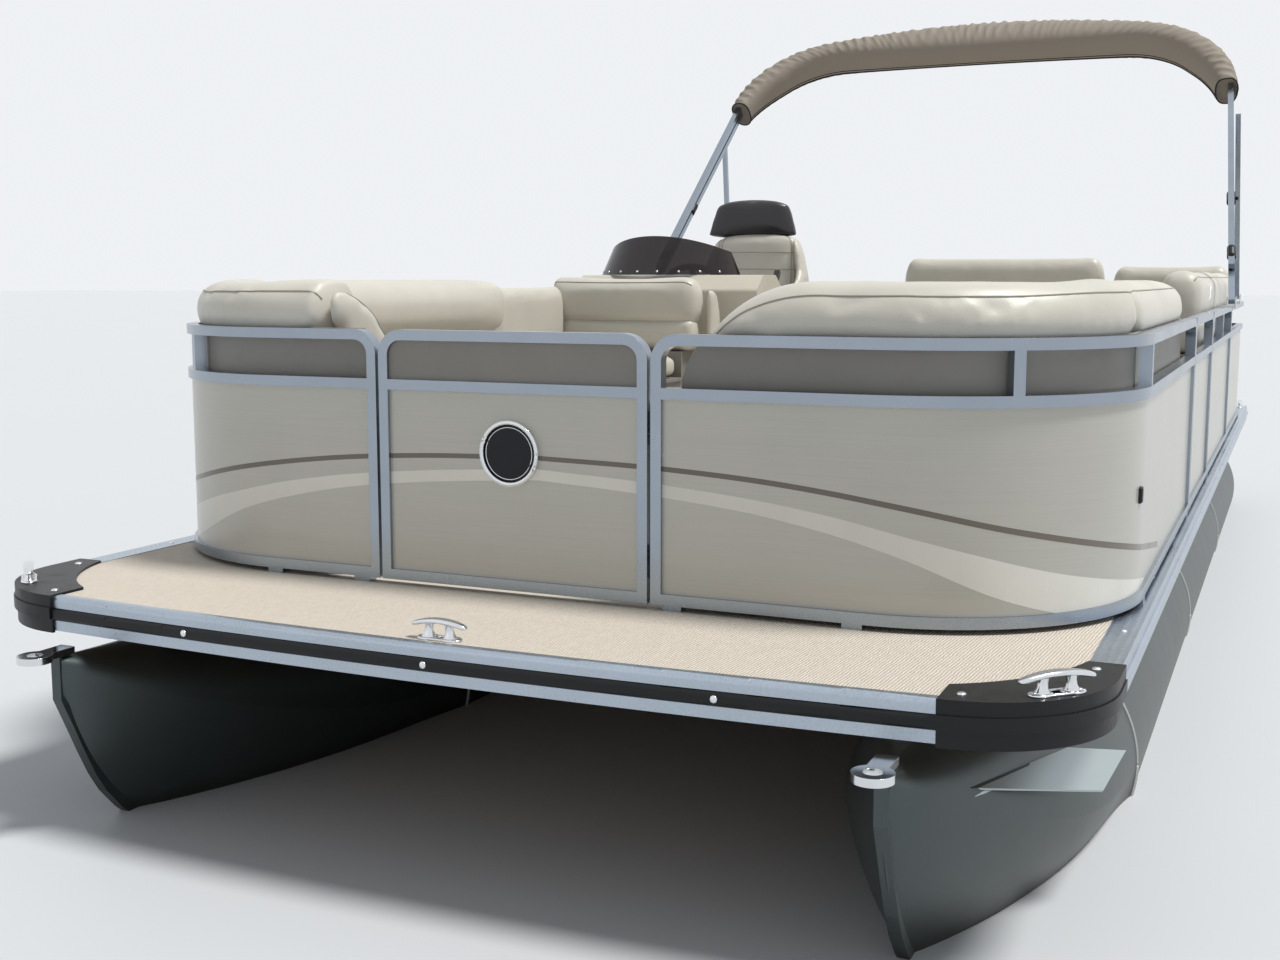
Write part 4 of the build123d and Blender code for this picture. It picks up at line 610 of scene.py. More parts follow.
def make_canvas(name, base):
    """Woven canvas, faded along its folds, with painted shade that darkens its lower band and painted shade that turns
    the inside of its ends near black.
    """
    n = surface(name, base, 0.86, Sheen_Weight=0.25)
    weave = n.effect("Cloth Weave", Pitch=0.0022, Slant=0.3)
    band, hollow = [n.new("Attribute", {}, attribute_name=label)["Fac"] for label in ("band", "hollow")]
    cloth = n.toned(n.effect("Hide Grain", Scale=90.0)["Shade"], base, 0.86, 1.1)
    cloth = n.mixed(n.times(weave["Thread"], 0.3), cloth, shaded(base, 0.78))
    # Painted shade: the lower band of the sleeve is darkened towards half the canvas colour.
    lower = n.mixed(n.times(band, 0.2), cloth, shaded(base, 0.5))
    # Painted shade: the inside of each hollow end is painted near black.
    n.cover(n.mixed(hollow, lower, (0.01, 0.01, 0.011, 1)), None, weave["Height"], 0.35, 0.0006)


def make_trim_metal(base):
    """Extruded deck edge with a studded tread on its flat top."""
    n = surface("deck edge", base, 0.3, 1.0)
    drawn = n.effect("Drawn Metal", Stretch=(180.0, 5.0, 180.0))
    x, _, z = n.axes()[:]
    on_top = n.times(n.ranged(z, 0.5375, 0.5390), n.ranged(n.sums("ABSOLUTE", x), 1.236, 1.240))
    studded = n.times(on_top, n.effect("Tread Studs")["Height"])
    n.cover(n.mixed(studded, n.toned(drawn["Streak"], base, 0.88, 1.06), shaded(base, 1.25)),
            n.ranged(drawn["Streak"], 0, 1, 0.24, 0.38), n.plus(n.times(drawn["Height"], 0.08), studded), 0.5, 0.0015)


def make_wood(base):
    n = surface("deck ply", base, 0.6)
    waves = {"Vector": n.vector, "Scale": 90.0, "Distortion": 2.0, "Detail": 3.0}
    rings = n.new("TexWave", waves, bands_direction="Z")[0]
    grain = n.noise(1.0, 5.0, stretch=(40.0, 4.0, 200.0))
    n.cover(n.toned(n.times(rings, grain), base, 1.15, 0.6), None, grain, 0.3, 0.0006)


def make_smoked_screen(base, worn_base):
    n = surface("smoked screen", base, 0.06, Alpha=0.86, Specular_IOR_Level=0.35)
    worn = n.marks(Scale=30.0)
    n.cover(n.mixed(worn, (*base, 1), (*worn_base, 1)), n.ranged(worn, 0, 1, 0.04, 0.16))


def make_all_finishes():
    look = chosen()[0]
    make_effects()
    make_vinyl("seat vinyl", look.vinyl, 0.42)
    make_vinyl("dark vinyl", look.dark_vinyl, 0.34)
    make_panel_skin(look.panel)
    make_canvas("canvas", look.canvas)
    make_floor_weave(look.floor)
    make_wood(tone(148, 120, 86))
    # The rail tint carries painted shade and painted sky reflection.
    make_metal("rail metal", look.rail, 0.24, (3.0, 3.0, 9.0), 1.0, 0.1, 0.0001)
    make_metal("frame metal", tone(168, 170, 168), 0.45, (4.0, 120.0, 120.0), 0.9)
    make_metal("bright metal", tone(226, 228, 230), 0.13, (30.0, 30.0, 30.0), 1.0, 0.12, 0.0001)
    make_metal("weld metal", tone(186, 188, 184), 0.4, (60.0, 60.0, 60.0), 0.9)
    # The deck edge is the rail tint made 1.3 times brighter. Part of this is its brighter polish, and part is a
    # painted highlight of its lit top.
    make_trim_metal([channel * 1.3 for channel in look.rail])
    make_tube_metal("tube metal", look.tube, 0.4)
    make_smoked_screen((0.018, 0.011, 0.012), (0.035, 0.026, 0.026))
    make_plastic("seam cord", look.seam, 0.6, 0.0004, 900.0)
    make_plastic("seat shell", look.shell, 0.5)
    make_plastic("lid board", shaded(look.shell, 0.9)[:3], 0.6)
    make_plastic("dark arc", look.dark_arc, 0.34, 0.0001, 700.0, Coat_Weight=0.3)
    make_plastic("pale arc", look.pale_arc, 0.34, 0.0001, 700.0, Coat_Weight=0.3)
    make_plastic("canvas trim", tone(30, 28, 27), 0.8, 0.0006, 300.0)
    make_plastic("black rubber", look.rubber, 0.42, 0.0002, 380.0, 0.3, Specular_IOR_Level=0.35)
    make_plastic("console shell", tone(203, 197, 180), 0.3, 0.0002, 300.0, 0.15, Coat_Weight=0.3)
    make_plastic("dash plastic", tone(44, 40, 40), 0.4)
    make_plastic("motor paint", look.motor, 0.24, 0.0001, 250.0, 0.15, Coat_Weight=0.8, Coat_Roughness=0.08)
    make_plastic("bracket paint", shaded(look.motor, 1.6)[:3], 0.4)
    make_plastic("badge enamel", tone(14, 15, 22), 0.3, 0.0001, 250.0, 0.1, Specular_IOR_Level=0.3)
    make_plastic("dial face", tone(226, 226, 220), 0.4, 0.0001)


NODE_FINISH = {
    "tube metal": "pontoon_port pontoon_starboard nosecone_port nosecone_starboard motor_pod",
    "frame metal": "underframe chair_swivel motor_engine",
    "deck ply": "deck_board",
    "floor weave": "deck_floor",
    "deck edge": "deck_trim",
    "black rubber": "bow_bumpers",
    "bright metal": "cleats tow_eyes gate_badge chair_pedestal bimini_mounts ladder_brackets",
    "rail metal": "fence_port fence_starboard bow_gate_frame side_gate_frame stern_gate_frame bimini_bows "
                  "bimini_braces ladder_upper ladder_lower",
    "panel skin": "panels_port panels_starboard bow_gate_panel side_gate_panel stern_gate_panel",
    "seat shell": "bow_gate_infill seat_base_bow_port seat_base_bow_starboard seat_base_aft",
    "lid board": "lid_bow_port lid_bow_starboard lid_aft_port",
    "console shell": "console_body",
    "dash plastic": "dash",
    "smoked screen": "windscreen",
    "dark vinyl": "helm_wheel",
    "bracket paint": "motor_bracket motor_swivel",
    "motor paint": "motor_leg propeller",
}


def soften(node, width, skin):
    """Copy of a rigid node with its flat faces joined and its edges rounded, which stands for the node."""
    mesh = frame["nodes"][node].data.copy()
    work = bmesh.new()
    work.from_mesh(mesh)
    bmesh.ops.remove_doubles(work, verts=work.verts, dist=1e-5)
    bmesh.ops.dissolve_limit(work, angle_limit=math.radians(0.4), verts=work.verts, edges=work.edges)
    bmesh.ops.triangulate(work, faces=[face for face in work.faces if len(face.verts) > 4])
    work.to_mesh(mesh)
    work.free()
    for attribute in [item for item in mesh.attributes if item.name == "custom_normal"]:
        mesh.attributes.remove(attribute)
    mesh.materials.clear()
    mesh.shade_smooth()
    mesh.set_sharp_from_angle(angle=math.radians(28))
    piece = placed(node + "_rounded", mesh)
    bevel = piece.modifiers.new("edge", "BEVEL")
    bevel.width, bevel.segments = width, 2
    bevel.limit_method, bevel.angle_limit = "ANGLE", math.radians(40)
    bevel.use_clamp_overlap = bevel.harden_normals = True
    body = next(name for name, nodes in frame["record"]["behaviour"]["bodies"].items() if node in nodes)
    finish(piece, body, skin, node)


class BOAT_OT_finishes(bpy.types.Operator):
    """Give every rigid node its finish"""

    bl_idname = "boat.finishes"
    bl_label = "Metal, panel and deck finishes"

    def execute(self, context):
        make_all_finishes()
        for name, nodes in NODE_FINISH.items():
            for node in nodes.split():
                mesh = frame["nodes"][node].data
                mesh.materials.clear()
                mesh.materials.append(bpy.data.materials[name])
        return {"FINISHED"}


class BOAT_OT_rails(bpy.types.Operator):
    """Round the edges of the rails, gates, trim and small metal"""

    bl_idname = "boat.rails"
    bl_label = "Rails and edges"

    def execute(self, context):
        edge = chosen()[1].rail_edge
        for node in ("fence_port", "fence_starboard", "bow_gate_frame", "side_gate_frame", "stern_gate_frame"):
            soften(node, edge, "rail metal")
        soften("console_body", 0.02, "console shell")
        soften("tow_eyes", 0.005, "bright metal")
        soften("bow_bumpers", 0.006, "black rubber")
        soften("deck_trim", 0.0015, "deck edge")
        return {"FINISHED"}


# Seats

SEAT_LOW, SEAT_HIGH, BACK_LOW, BACK_SPLIT, BACK_HIGH = 0.885, 0.980, 0.985, 1.085, 1.268
BACK_INSET, OVERHANG, FAR_BOW = 0.047, 0.027, 1.001
GATE_END, GATE_REACH = 0.33, 0.33
SEAT_OUT, SEAT_IN = 1.048, 0.628
STERN = 5.938


def fore_and_aft(outer, inner, y0, y1):
    """Two edge lines that run aft."""
    return [(outer, y0), (outer, y1)], [(inner, y0), (inner, y1)]


def athwart(outer, inner, x0, x1):
    """Two edge lines that run to port."""
    return [(x0, outer), (x1, outer)], [(x0, inner), (x1, inner)]


def gate_end_rise(x, start, reach):
    """Top line at the gate end of a bow back: a quarter of an ellipse from the seat's level to the full height."""
    share = np.clip((start + reach - x) / reach, 0, 1)
    return BACK_LOW + (BACK_HIGH - BACK_LOW) * np.sqrt(1 - share**2)


def straight_back(name, node, lines, top, overhang=0.0, start=None):
    """Back rest of a full roll over a slimmer lower part."""
    outer, inner = np.array(lines, float)
    pad(name, "hull", node, (outer, inner), BACK_SPLIT - 0.01, top, rounding=0.07, power=3.4, crown=0.008,
        edges=(0.28,), overhang=overhang, start=start)
    slim = outer - (outer - inner) * 0.80
    trimmed = [[line[0] * (1 - s) + line[1] * s for s in (0.02, 0.98)] for line in (outer, slim)]
    pad(name + "_lower", "hull", node, trimmed, BACK_LOW, BACK_SPLIT + 0.035, rounding=0.03, power=5, crown=0)


class BOAT_OT_cushions(bpy.types.Operator):
    """Seat cushions on the lids, in the bow corners and on the stern bench"""

    bl_idname = "boat.cushions"
    bl_label = "Seat cushions"

    def execute(self, context):
        bowed = {"rounding": 0.04, "crown": 0.007}
        fixed, foot = "cushions_fixed", SEAT_LOW - 0.010
        for name, body, side, y0, y1 in (
            ("cushion_bow_port", "bow_port_lid", 1, 1.010, 2.290),
            ("cushion_bow_starboard", "bow_starboard_lid", -1, 1.010, 2.869),
            ("cushion_aft_port", "aft_port_lid", 1, 3.420, 5.412),
        ):
            pad(name + "_pad", body, name, fore_and_aft(side * SEAT_OUT, side * SEAT_IN, y0, y1), SEAT_LOW, SEAT_HIGH,
                seams=(0.5,), edges=(0.74,), **bowed)
        corner, radius, front = 0.765, 0.292, 0.995
        for side, start, label in ((1, 0.330, "port"), (-1, 0.638, "starboard")):
            x = np.linspace(start, corner + radius, 60)
            near = front - np.sqrt(radius**2 - np.minimum(np.maximum(x - corner, 0), radius) ** 2)
            lines = joined(side * x, near), joined(side * x, FAR_BOW)
            pad("cushion_corner_" + label, "hull", fixed, lines, foot, SEAT_HIGH, edges=(0.26,), **bowed)
        pad("cushion_bench", "hull", fixed, athwart(5.932, 5.424, -0.527, 1.057), foot, SEAT_HIGH,
            seams=(0.5,), edges=(0.74,), **bowed)
        return {"FINISHED"}


class BOAT_OT_backs(bpy.types.Operator):
    """Back rests round the bow, along the sides and across the stern"""

    bl_idname = "boat.backs"
    bl_label = "Back rests"

    def execute(self, context):
        port, starboard = "backs_bow_port", "backs_bow_starboard"
        for side, start, node, seams, end in ((1, GATE_END, port, (), None), (-1, 0.606, starboard, (0.014,), 0.02)):
            insets = BACK_INSET, BACK_INSET + BACK_DEEP
            lines = [along(fence_line(start, FRONT + CORNER, inset, side), 120) for inset in insets]
            lateral = np.abs(np.array(lines)[..., 0])
            top = np.full(120, BACK_HIGH)
            if side == 1:
                rising = gate_end_rise(lateral[0], start, GATE_REACH)
                top = np.where(lateral.sum(0) / 2 > start + GATE_REACH, top, rising)
            pad(node + "_corner", "hull", node, lines, BACK_LOW, top, power=4.2, crown=0.010, seams=seams,
                edges=(0.26,), overhang=OVERHANG, start=end)
        for name, side, node, y0, y1, top, overhang in (
            ("back_bow_port", 1, port, FAR_BOW, 2.290, BACK_HIGH - 0.008, OVERHANG),
            ("back_bow_starboard", -1, starboard, FAR_BOW, 2.300, BACK_HIGH - 0.008, OVERHANG),
            ("back_aft_fore", 1, "backs_aft", 3.420, 4.660, 1.298, 0.0),
            ("back_aft_rear", 1, "backs_aft", 4.668, 5.926, 1.298, 0.0),
        ):
            outer = side * (HALF - BACK_INSET)
            straight_back(name, node, fore_and_aft(outer, outer - side * BACK_DEEP, y0, y1), top, overhang)
        pad("back_starboard_filler", "hull", starboard, fore_and_aft(-1.228, -1.140, 2.306, 2.910), BACK_LOW,
            BACK_HIGH - 0.023, power=3.6)
        straight_back("back_starboard_aft", starboard, athwart(2.874, 3.020, -1.226, -0.572), BACK_HIGH + 0.008,
                      start=0.015)
        shares = np.array((0, 0.34, 0.55, 0.76, 0.91, 1.0))
        for name, x, near, below_rail, top, depths in (
            ("end_starboard_fore", -0.592, 0.527, 0.024, BACK_HIGH - 0.020, (0.290, 0.270, 0.246, 0.200, 0.135, 0.06)),
            ("end_starboard_aft", -0.556, 2.944, 0.0, 1.232, (0.130, 0.130, 0.126, 0.112, 0.088, 0.05)),
        ):
            rise = np.linspace(BACK_LOW, top, 30)
            reach = np.interp(rise, shares * (top - BACK_LOW) + BACK_LOW, depths)
            lines = joined(x, near + reach, rise), joined(x, near + below_rail * (rise < RAIL_TOP), rise)
            pad(name, "hull", starboard, lines, -0.015, 0.015, up=(1, 0, 0), rounding=0.04, power=4, crown=0.004,
                edges=(0.26,))
        for name, x0, x1, top in (("back_stern", -0.552, 0.577, 1.388), ("back_stern_corner", 0.595, 1.222, 1.338)):
            straight_back(name, "backs_aft", athwart(STERN + BACK_DEEP, STERN, x0, x1), top)
        return {"FINISHED"}


class BOAT_OT_skirts(bpy.types.Operator):
    """Moulded shells behind the backs, which show between the rails"""

    bl_idname = "boat.skirts"
    bl_label = "Seat back shells"

    def execute(self, context):
        shapes, under_rail, foot = [], 1.150, 0.60
        for side, start, end, reach in ((1, GATE_END, 2.290, GATE_REACH), (-1, 0.465, 2.815, 0.08)):
            outer, inner = [along(fence_line(start + 0.01, end, inset, side), 240) for inset in (0.038, 0.044)]
            top = np.minimum(gate_end_rise(np.abs(outer[:, 0]), start, reach) - 0.004, under_rail)
            top = np.where(outer[:, 1] > 0.6, under_rail, top)
            shapes.append(np.stack([joined(*line.T, rise) for line, rise in (
                (outer, foot), (outer, top - 0.003), ((outer + inner) / 2, top), (inner, top - 0.003),
                (inner, foot))], 1))
        add_skins("seat_back_shells", shapes, "hull", "seat shell", smooth=False)
        return {"FINISHED"}


class BOAT_OT_chair(bpy.types.Operator):
    """Helm chair: seat, back with a cross seam, side wings and dark headrest"""

    bl_idname = "boat.chair"
    bl_label = "Helm chair"

    def execute(self, context):
        x, foot, lean = -0.86, 0.898, 0.115
        pad("chair_seat_pad", "chair", "chair_seat", fore_and_aft(x + 0.213, x - 0.213, 3.875, 4.260), 0.900, 1.018,
            rounding=0.06, crown=0.008, edges=(0.26, 0.74))
        rise = np.linspace(0.90, 1.500, 40)
        wide = 0.212 + 0.012 * np.sin((rise - 0.9) / 0.6 * np.pi)
        lines = [joined(x + way * wide, 4.266 + (rise - foot) * lean + 0.045, rise) for way in (1, -1)]
        pad("chair_back_pad", "chair", "chair_back", lines, -0.045, 0.045, up=(0, -0.9934, 0.1147), power=4,
            crown=0.012, seams=(0.66, 0.735), edges=(0.26, 0.74))
        rise = np.linspace(0.905, 1.47, 40)
        depth = np.interp(rise, (0.9, 1.05, 1.20, 1.30, 1.47), (0.36, 0.34, 0.24, 0.13, 0.08))
        away = np.interp(rise, (0.9, 1.27, 1.40, 1.47), (0.266, 0.266, 0.235, 0.205))
        for side, label in ((1, "port"), (-1, "starboard")):
            lines = [joined(x + side * (away - deep), 4.36 + (rise - foot) * lean, rise) for deep in (0, 0.048)]
            pad("chair_wing_" + label, "chair", "chair_back", lines, 0.0, depth, up=(0, -1, 0), power=3.2, crown=0.004)
        rise = np.linspace(1.462, 1.652, 24)
        wide = np.interp(rise, (1.462, 1.52, 1.60, 1.652), (0.236, 0.222, 0.196, 0.172))
        lines = [joined(x - 0.036 + way * wide, 4.392 + (rise - 1.478) * 0.09, rise) for way in (1, -1)]
        pad("chair_headrest_pad", "chair", "chair_headrest", lines, -0.056, 0.056, up=(0, -0.996, 0.09),
            rounding=0.035, power=3.4, skin="dark vinyl", start=0.008)
        return {"FINISHED"}


class BOAT_OT_seam_cords(bpy.types.Operator):
    """Sewn cords over the seams of the cushions"""

    bl_idname = "boat.seam_cords"
    bl_label = "Seam cords"

    def execute(self, context):
        for body, cords in welts.items():
            shapes = [tube(line, chosen()[1].cord, 6) for line in cords]
            add_skins("seam_cords_" + body, shapes, body, "seam cord")
        return {"FINISHED"}


# Fence panels

THIN_ARC = np.array([
    (0.0, 0.862), (0.309, 0.853), (0.579, 0.8335), (0.837, 0.799), (1.087, 0.7485), (1.302, 0.7085),
    (1.5, 0.675), (1.727, 0.640), (2.0, 0.600)])
PALE_TOP = np.array([
    (0.0, 0.836), (0.309, 0.818), (0.579, 0.790), (0.733, 0.765), (0.837, 0.742), (0.95, 0.715),
    (1.155, 0.664), (1.552, 0.596), (1.66, 0.579)])
PALE_LOW = np.array([
    (0.0, 0.811), (0.309, 0.790), (0.579, 0.757), (0.837, 0.695), (1.05, 0.610), (1.17, 0.5765), (1.66, 0.5765)])


def smooth_line(table, places):
    """Cubic Hermite curve through a table's points, its slopes the mean of the slopes at each side."""
    x, y = table.T
    slope = np.gradient(y, x)
    index = np.clip(np.searchsorted(x, places) - 1, 0, len(x) - 2)
    h = x[index + 1] - x[index]
    t = np.clip((places - x[index]) / h, 0, 1)
    return ((2 * t**3 - 3 * t**2 + 1) * y[index] + (t**3 - 2 * t**2 + t) * h * slope[index]
            + (3 * t**2 - 2 * t**3) * y[index + 1] + (t**3 - t**2) * h * slope[index + 1])


def arc_strip(first, last, side, low, high):
    """Film on a fence panel between two height curves of the distance from the middle, as rings of four points.

    The heights are cubic curves through the tables' points."""
    inset, thick = 0.0088, 0.0006
    places = np.linspace(first, last, max(int((last - first) / 0.015), 3))
    low, high = smooth_line(low, places), smooth_line(high, places)
    high = np.maximum(high, low + 0.0004)
    front, back = [fence_line(0.0, 2.38, depth, side) for depth in (inset, inset + thick)]
    whole = travelled(front)[-1]
    front, back = [
        read_off(line, travelled(line), places * travelled(line)[-1] / whole) for line in (front, back)]
    return np.stack([joined(*line.T, rise) for line, rise in (
        (front, low), (front, high), (back, high), (back, low))], 1)


class BOAT_OT_arcs(bpy.types.Operator):
    """Thin dark arc and wide pale arc across the bow panels"""

    bl_idname = "boat.arcs"
    bl_label = "Panel arcs"

    def execute(self, context):
        half = 0.0055
        growth = joined(0.0, np.linspace(0, 0.004, len(THIN_ARC)))
        for name, low, high, most in (
            ("dark_arc", THIN_ARC - [0, half], THIN_ARC + [0, half] + growth, 1.98),
            ("pale_arc", PALE_LOW, PALE_TOP, 1.655),
        ):
            for body, parts in (("hull", ((1, 0.307, 1.98), (-1, 0.457, 2.0))),
                                ("bow_gate", ((1, 0.0, 0.249), (-1, 0.0, 0.399)))):
                shapes = [arc_strip(first, min(last, most), side, low, high) for side, first, last in parts]
                add_skins(f"{name}_{body}", shapes, body, name.replace("_", " "), None, False)
        return {"FINISHED"}


class BOAT_OT_badge(bpy.types.Operator):
    """Plain round badge of dark enamel in a bright ring"""

    bl_idname = "boat.badge"
    bl_label = "Gate badge"

    def execute(self, context):
        x, y, z = middle = (-0.072, 0.4855, 0.870)
        rows = [(0.0668, -0.001), (0.0668, 0.0006), (0.057, 0.0012), (0.034, 0.0020), (0.0005, 0.0024)]
        face = turned(rows, middle, (0, -1, 0), 64)
        add_skins("badge_face", [face], "bow_gate", "badge enamel")
        angle = circle(64)
        rings = [
            tube(looped(joined(x + radius * np.cos(angle), y - 0.0012, z + radius * np.sin(angle))), size, 10)
            for radius, size in ((0.0712, 0.0048), (0.0600, 0.0010))]
        add_skins("badge_rings", rings, "bow_gate", "bright metal")
        return {"FINISHED"}


# Packed top

LEG_LEAN, TOP_LEAN = math.radians(3.8), math.radians(43.6)
TOP_HALF, TOP_LEG, TOP_BEND = 1.210, 1.318, 0.520
TOP_Y, TOP_Z = 4.060, 1.185  # middle between the feet of the legs


def arch_side(grow, crown, count):
    """Half an arch in its own plane, from the leg's end over the corner to the middle of the crown.

    The corner is an arc about (half - radius, leg), from the angle at which the leg leans. The crown is an arc
    whose tangent meets it at the angle that brings the middle to the crown's height, found by halving."""
    half, leg, radius = TOP_HALF + grow, TOP_LEG, TOP_BEND + grow
    low, high = math.radians(30), math.radians(89.5)
    for _ in range(50):
        turn = (low + high) / 2
        u, v = half - radius * (1 - math.cos(turn)), leg + radius * math.sin(turn)
        if v + u / math.cos(turn) * (1 - math.sin(turn)) > crown:
            low = turn
        else:
            high = turn
    a = np.linspace(LEG_LEAN, turn, 60)
    b = np.linspace(turn, np.pi / 2, 60)[1:]
    big = u / math.cos(turn)
    corner = joined(half - radius * (1 - np.cos(a)), leg + radius * np.sin(a))
    top = joined(big * np.cos(b), v - u * math.tan(turn) + big * np.sin(b))
    return along(np.vstack([corner, top]), count)


def in_bow_plane(u, v, lift):
    """Point of the top's leaning plane, lifted square to it."""
    y = TOP_Y + v * math.cos(TOP_LEAN) - lift * math.sin(TOP_LEAN)
    z = TOP_Z + v * math.sin(TOP_LEAN) + lift * math.cos(TOP_LEAN)
    return joined(u, y, z)


def on_leg(side, v, lift):
    """Point on a leg, which leans inboard."""
    x = TOP_HALF - TOP_BEND * (1 - math.cos(LEG_LEAN))
    top = TOP_LEG + TOP_BEND * math.sin(LEG_LEAN)
    return in_bow_plane(side * (x + (top - v) * math.tan(LEG_LEAN)), v, lift)


def boot_skin():
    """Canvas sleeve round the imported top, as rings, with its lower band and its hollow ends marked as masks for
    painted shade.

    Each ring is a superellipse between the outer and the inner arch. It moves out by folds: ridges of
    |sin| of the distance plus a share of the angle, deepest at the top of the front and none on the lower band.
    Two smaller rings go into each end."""
    count, columns = 230, 72
    outer, inner = [
        np.vstack([half * [-1, 1], half[::-1][1:]])
        for half in (arch_side(0.028, 1.950, count), arch_side(-0.118, 1.688, count))]
    run = np.linspace(-1, 1, len(outer))
    angle = circle(columns)
    c = np.cos(angle)
    a, b = squared(angle, 0.80)
    near_end = np.clip((np.abs(run) - 0.80) / 0.20, 0, 1)
    half = (outer - inner) / 2 * (1 - 0.36 * near_end**1.5)[:, None]
    thick = 0.082 - 0.014 * near_end**1.5
    distance, lean = run[:, None] * 2.1, angle[None] * 0.030
    upper = np.clip((c + 0.75) / 0.9, 0, 1) * (1 - 0.45 * np.clip(c, 0, 1) ** 2)
    upper = upper[None] * (0.75 + 0.25 * near_end[:, None])
    folds = 0.55 * (1 - np.abs(np.sin((distance + lean) * 31 + 1.7 * np.sin(distance * 6.1))))
    folds += 0.45 * (1 - np.abs(np.sin((distance - lean * 1.6) * 47 + 2.3 * np.sin(distance * 9.7 + 1))))
    folds += 0.25 * np.sin(distance * 87 + angle[None] * 3)
    push = chosen()[1].fold * upper * np.maximum(folds - 0.05, 0)
    plane = (outer - half)[:, None] + half[:, None] * (a * (1 + push / 0.06))[..., None]
    lift = 0.017 + thick[:, None] * b * (1 + push / 0.07)
    rings = in_bow_plane(plane[..., 0], plane[..., 1], lift)
    ends = []
    for rim, within in ((rings[0], rings[3]), (rings[-1], rings[-4])):
        centre = rim.mean(0)
        ends.append(np.stack([centre + (rim - centre) * 0.90, within.mean(0) + (rim - centre) * 0.86]))
    # The end rings are marked in full for the painted shade inside the hollow ends.
    dark = np.ones((2, columns))
    # Mask of the painted shade on the lower band, on the side of the rings that faces down.
    band = np.clip((-c - 0.15) / 0.2, 0, 1) * np.ones((len(rings), 1))
    return (np.vstack([ends[0][::-1], rings, ends[1]]), np.vstack([0 * dark, band, 0 * dark]),
            np.vstack([dark, 0 * band, dark]))


class BOAT_OT_boot(bpy.types.Operator):
    """Packed canvas top in its sleeve, with its dark edge and pole fittings"""

    bl_idname = "boat.boot"
    bl_label = "Packed top"

    def execute(self, context):
        rings, band, hollow = boot_skin()
        piece = skins("packed_top", [rings])
        for label, values, at_poles in (("band", band, 0), ("hollow", hollow, 1)):
            shares = np.full(len(piece.data.vertices), at_poles, np.float32)
            shares[: values.size] = values.ravel()
            piece.data.attributes.new(label, "FLOAT", "POINT").data.foreach_set("value", shares)
        finish(piece, "bimini", "canvas", "bimini_boot")
        edging = [
            tube(rings[3:-3, int(rings.shape[1] * share)], size, sides)
            for share, size, sides in ((0.6, 0.0050, 8), (0.56, 0.0024, 6))]
        edging += [tube(looped(end), 0.004, 6) for end in (rings[2], rings[-3])]
        add_skins("top_edging", edging, "bimini", "canvas trim")
        fittings, knob = [], [(0.001, 0.03), (0.008, 0.03), (0.009, 0.024), (0.006, 0.015)]
        for side in (-1, 1):
            for v, lift, size in ((0.62, 0.0, 0.019), (0.24, 0.034, 0.018)):
                fittings.append(tube(on_leg(side, np.linspace(v - 0.03, v + 0.03, 5), lift), size, 12))
            fittings.append(turned(knob, on_leg(side, 0.62, 0.0), (side, 0, 0), 12))
        add_skins("top_sliders", fittings, "bimini", "black rubber")
        return {"FINISHED"}


# Hull details

DECK_TOP, TRIM_TOP, CAP_TOP = 0.538, 0.5395, 0.5445
TUBE_X, TUBE_Z, TUBE_RADIUS = 0.95, 0.080, 0.305


class BOAT_OT_welds(bpy.types.Operator):
    """Weld beads round the tubes"""

    bl_idname = "boat.welds"
    bl_label = "Weld beads"

    def execute(self, context):
        angle = np.linspace(0, 2 * np.pi, 240)
        across, rise = TUBE_RADIUS * np.cos(angle), TUBE_Z + TUBE_RADIUS * np.sin(angle)
        shapes = [
            tube(joined(side * TUBE_X + across, y, rise), 0.004, 6, bumps=0.4)
            for side in (-1, 1) for y in (1.25, 3.05, 4.85)]
        add_skins("weld_beads", shapes, "hull", "weld metal")
        return {"FINISHED"}


def cleat_rings(x, y, z, turn, size):
    """Cast cleat as rings: an arched flat horn, two legs that flare to the base, and the base.

    The horn's height is 38.5 - 11t^2 mm and its half width 13(1 - 0.3t^2) mm, t from -1 to 1 along it, and both
    close towards the tips by the cube root of 1 - t^12."""
    t = np.sin(np.linspace(-np.pi / 2, np.pi / 2, 25))[:, None]
    a, b = squared(circle(20), 0.7)
    close = np.maximum(1 - t**12, 0.004) ** (1 / 3)
    shapes = [joined(t * size / 2, 0.013 * (1 - 0.3 * t**2) * close * a, 0.0385 - 0.011 * t**2 + 0.0055 * close * b)]
    legs = [(0.0155, 0.003), (0.0125, 0.007), (0.009, 0.014), (0.0082, 0.024), (0.0095, 0.033), (0.011, 0.037)]
    feet = [(0.019, 0.0), (0.019, 0.003), (0.017, 0.005), (0.001, 0.0055)]
    for way in (-1, 1):
        leg = turned(legs, (0, 0, 0), (0, 0, 1), 20)
        leg[..., 0] = leg[..., 0] * 1.15 + way * size * (0.20 - leg[..., 2] * 0.54)
        foot = turned(feet, (0, 0, 0), (0, 0, 1), 24)
        foot[..., 0] = foot[..., 0] * 1.3 + way * size * 0.215
        shapes += [leg, foot, dome((way * size * 0.30, 0, 0.004), (0, 0, 1), 0.005, 0.003)]
        shapes.append(slab((-size * 0.2, way * 0.0145 - 0.003, 0.0), (size * 0.2, way * 0.0145 + 0.003, 0.005), 0.001))
    c, s = math.cos(turn), math.sin(turn)
    return [shape @ np.array([[c, s, 0], [-s, c, 0], [0, 0, 1]]) + [x, y, z] for shape in shapes]


class BOAT_OT_cleats(bpy.types.Operator):
    """Cast cleats at the bow corners, the bow's middle and the stern corners"""

    bl_idname = "boat.cleats"
    bl_label = "Cleats"

    def execute(self, context):
        shapes = cleat_rings(0.0, 0.060, DECK_TOP, 0, 0.128)
        for side in (1, -1):
            shapes += cleat_rings(side * 1.213, 0.144, CAP_TOP, math.radians(side * 44), 0.158)
            shapes += cleat_rings(side * 1.261, 6.620, TRIM_TOP, math.radians(90), 0.158)
        add_skins("cast_cleats", shapes, "hull", "bright metal", "cleats")
        return {"FINISHED"}


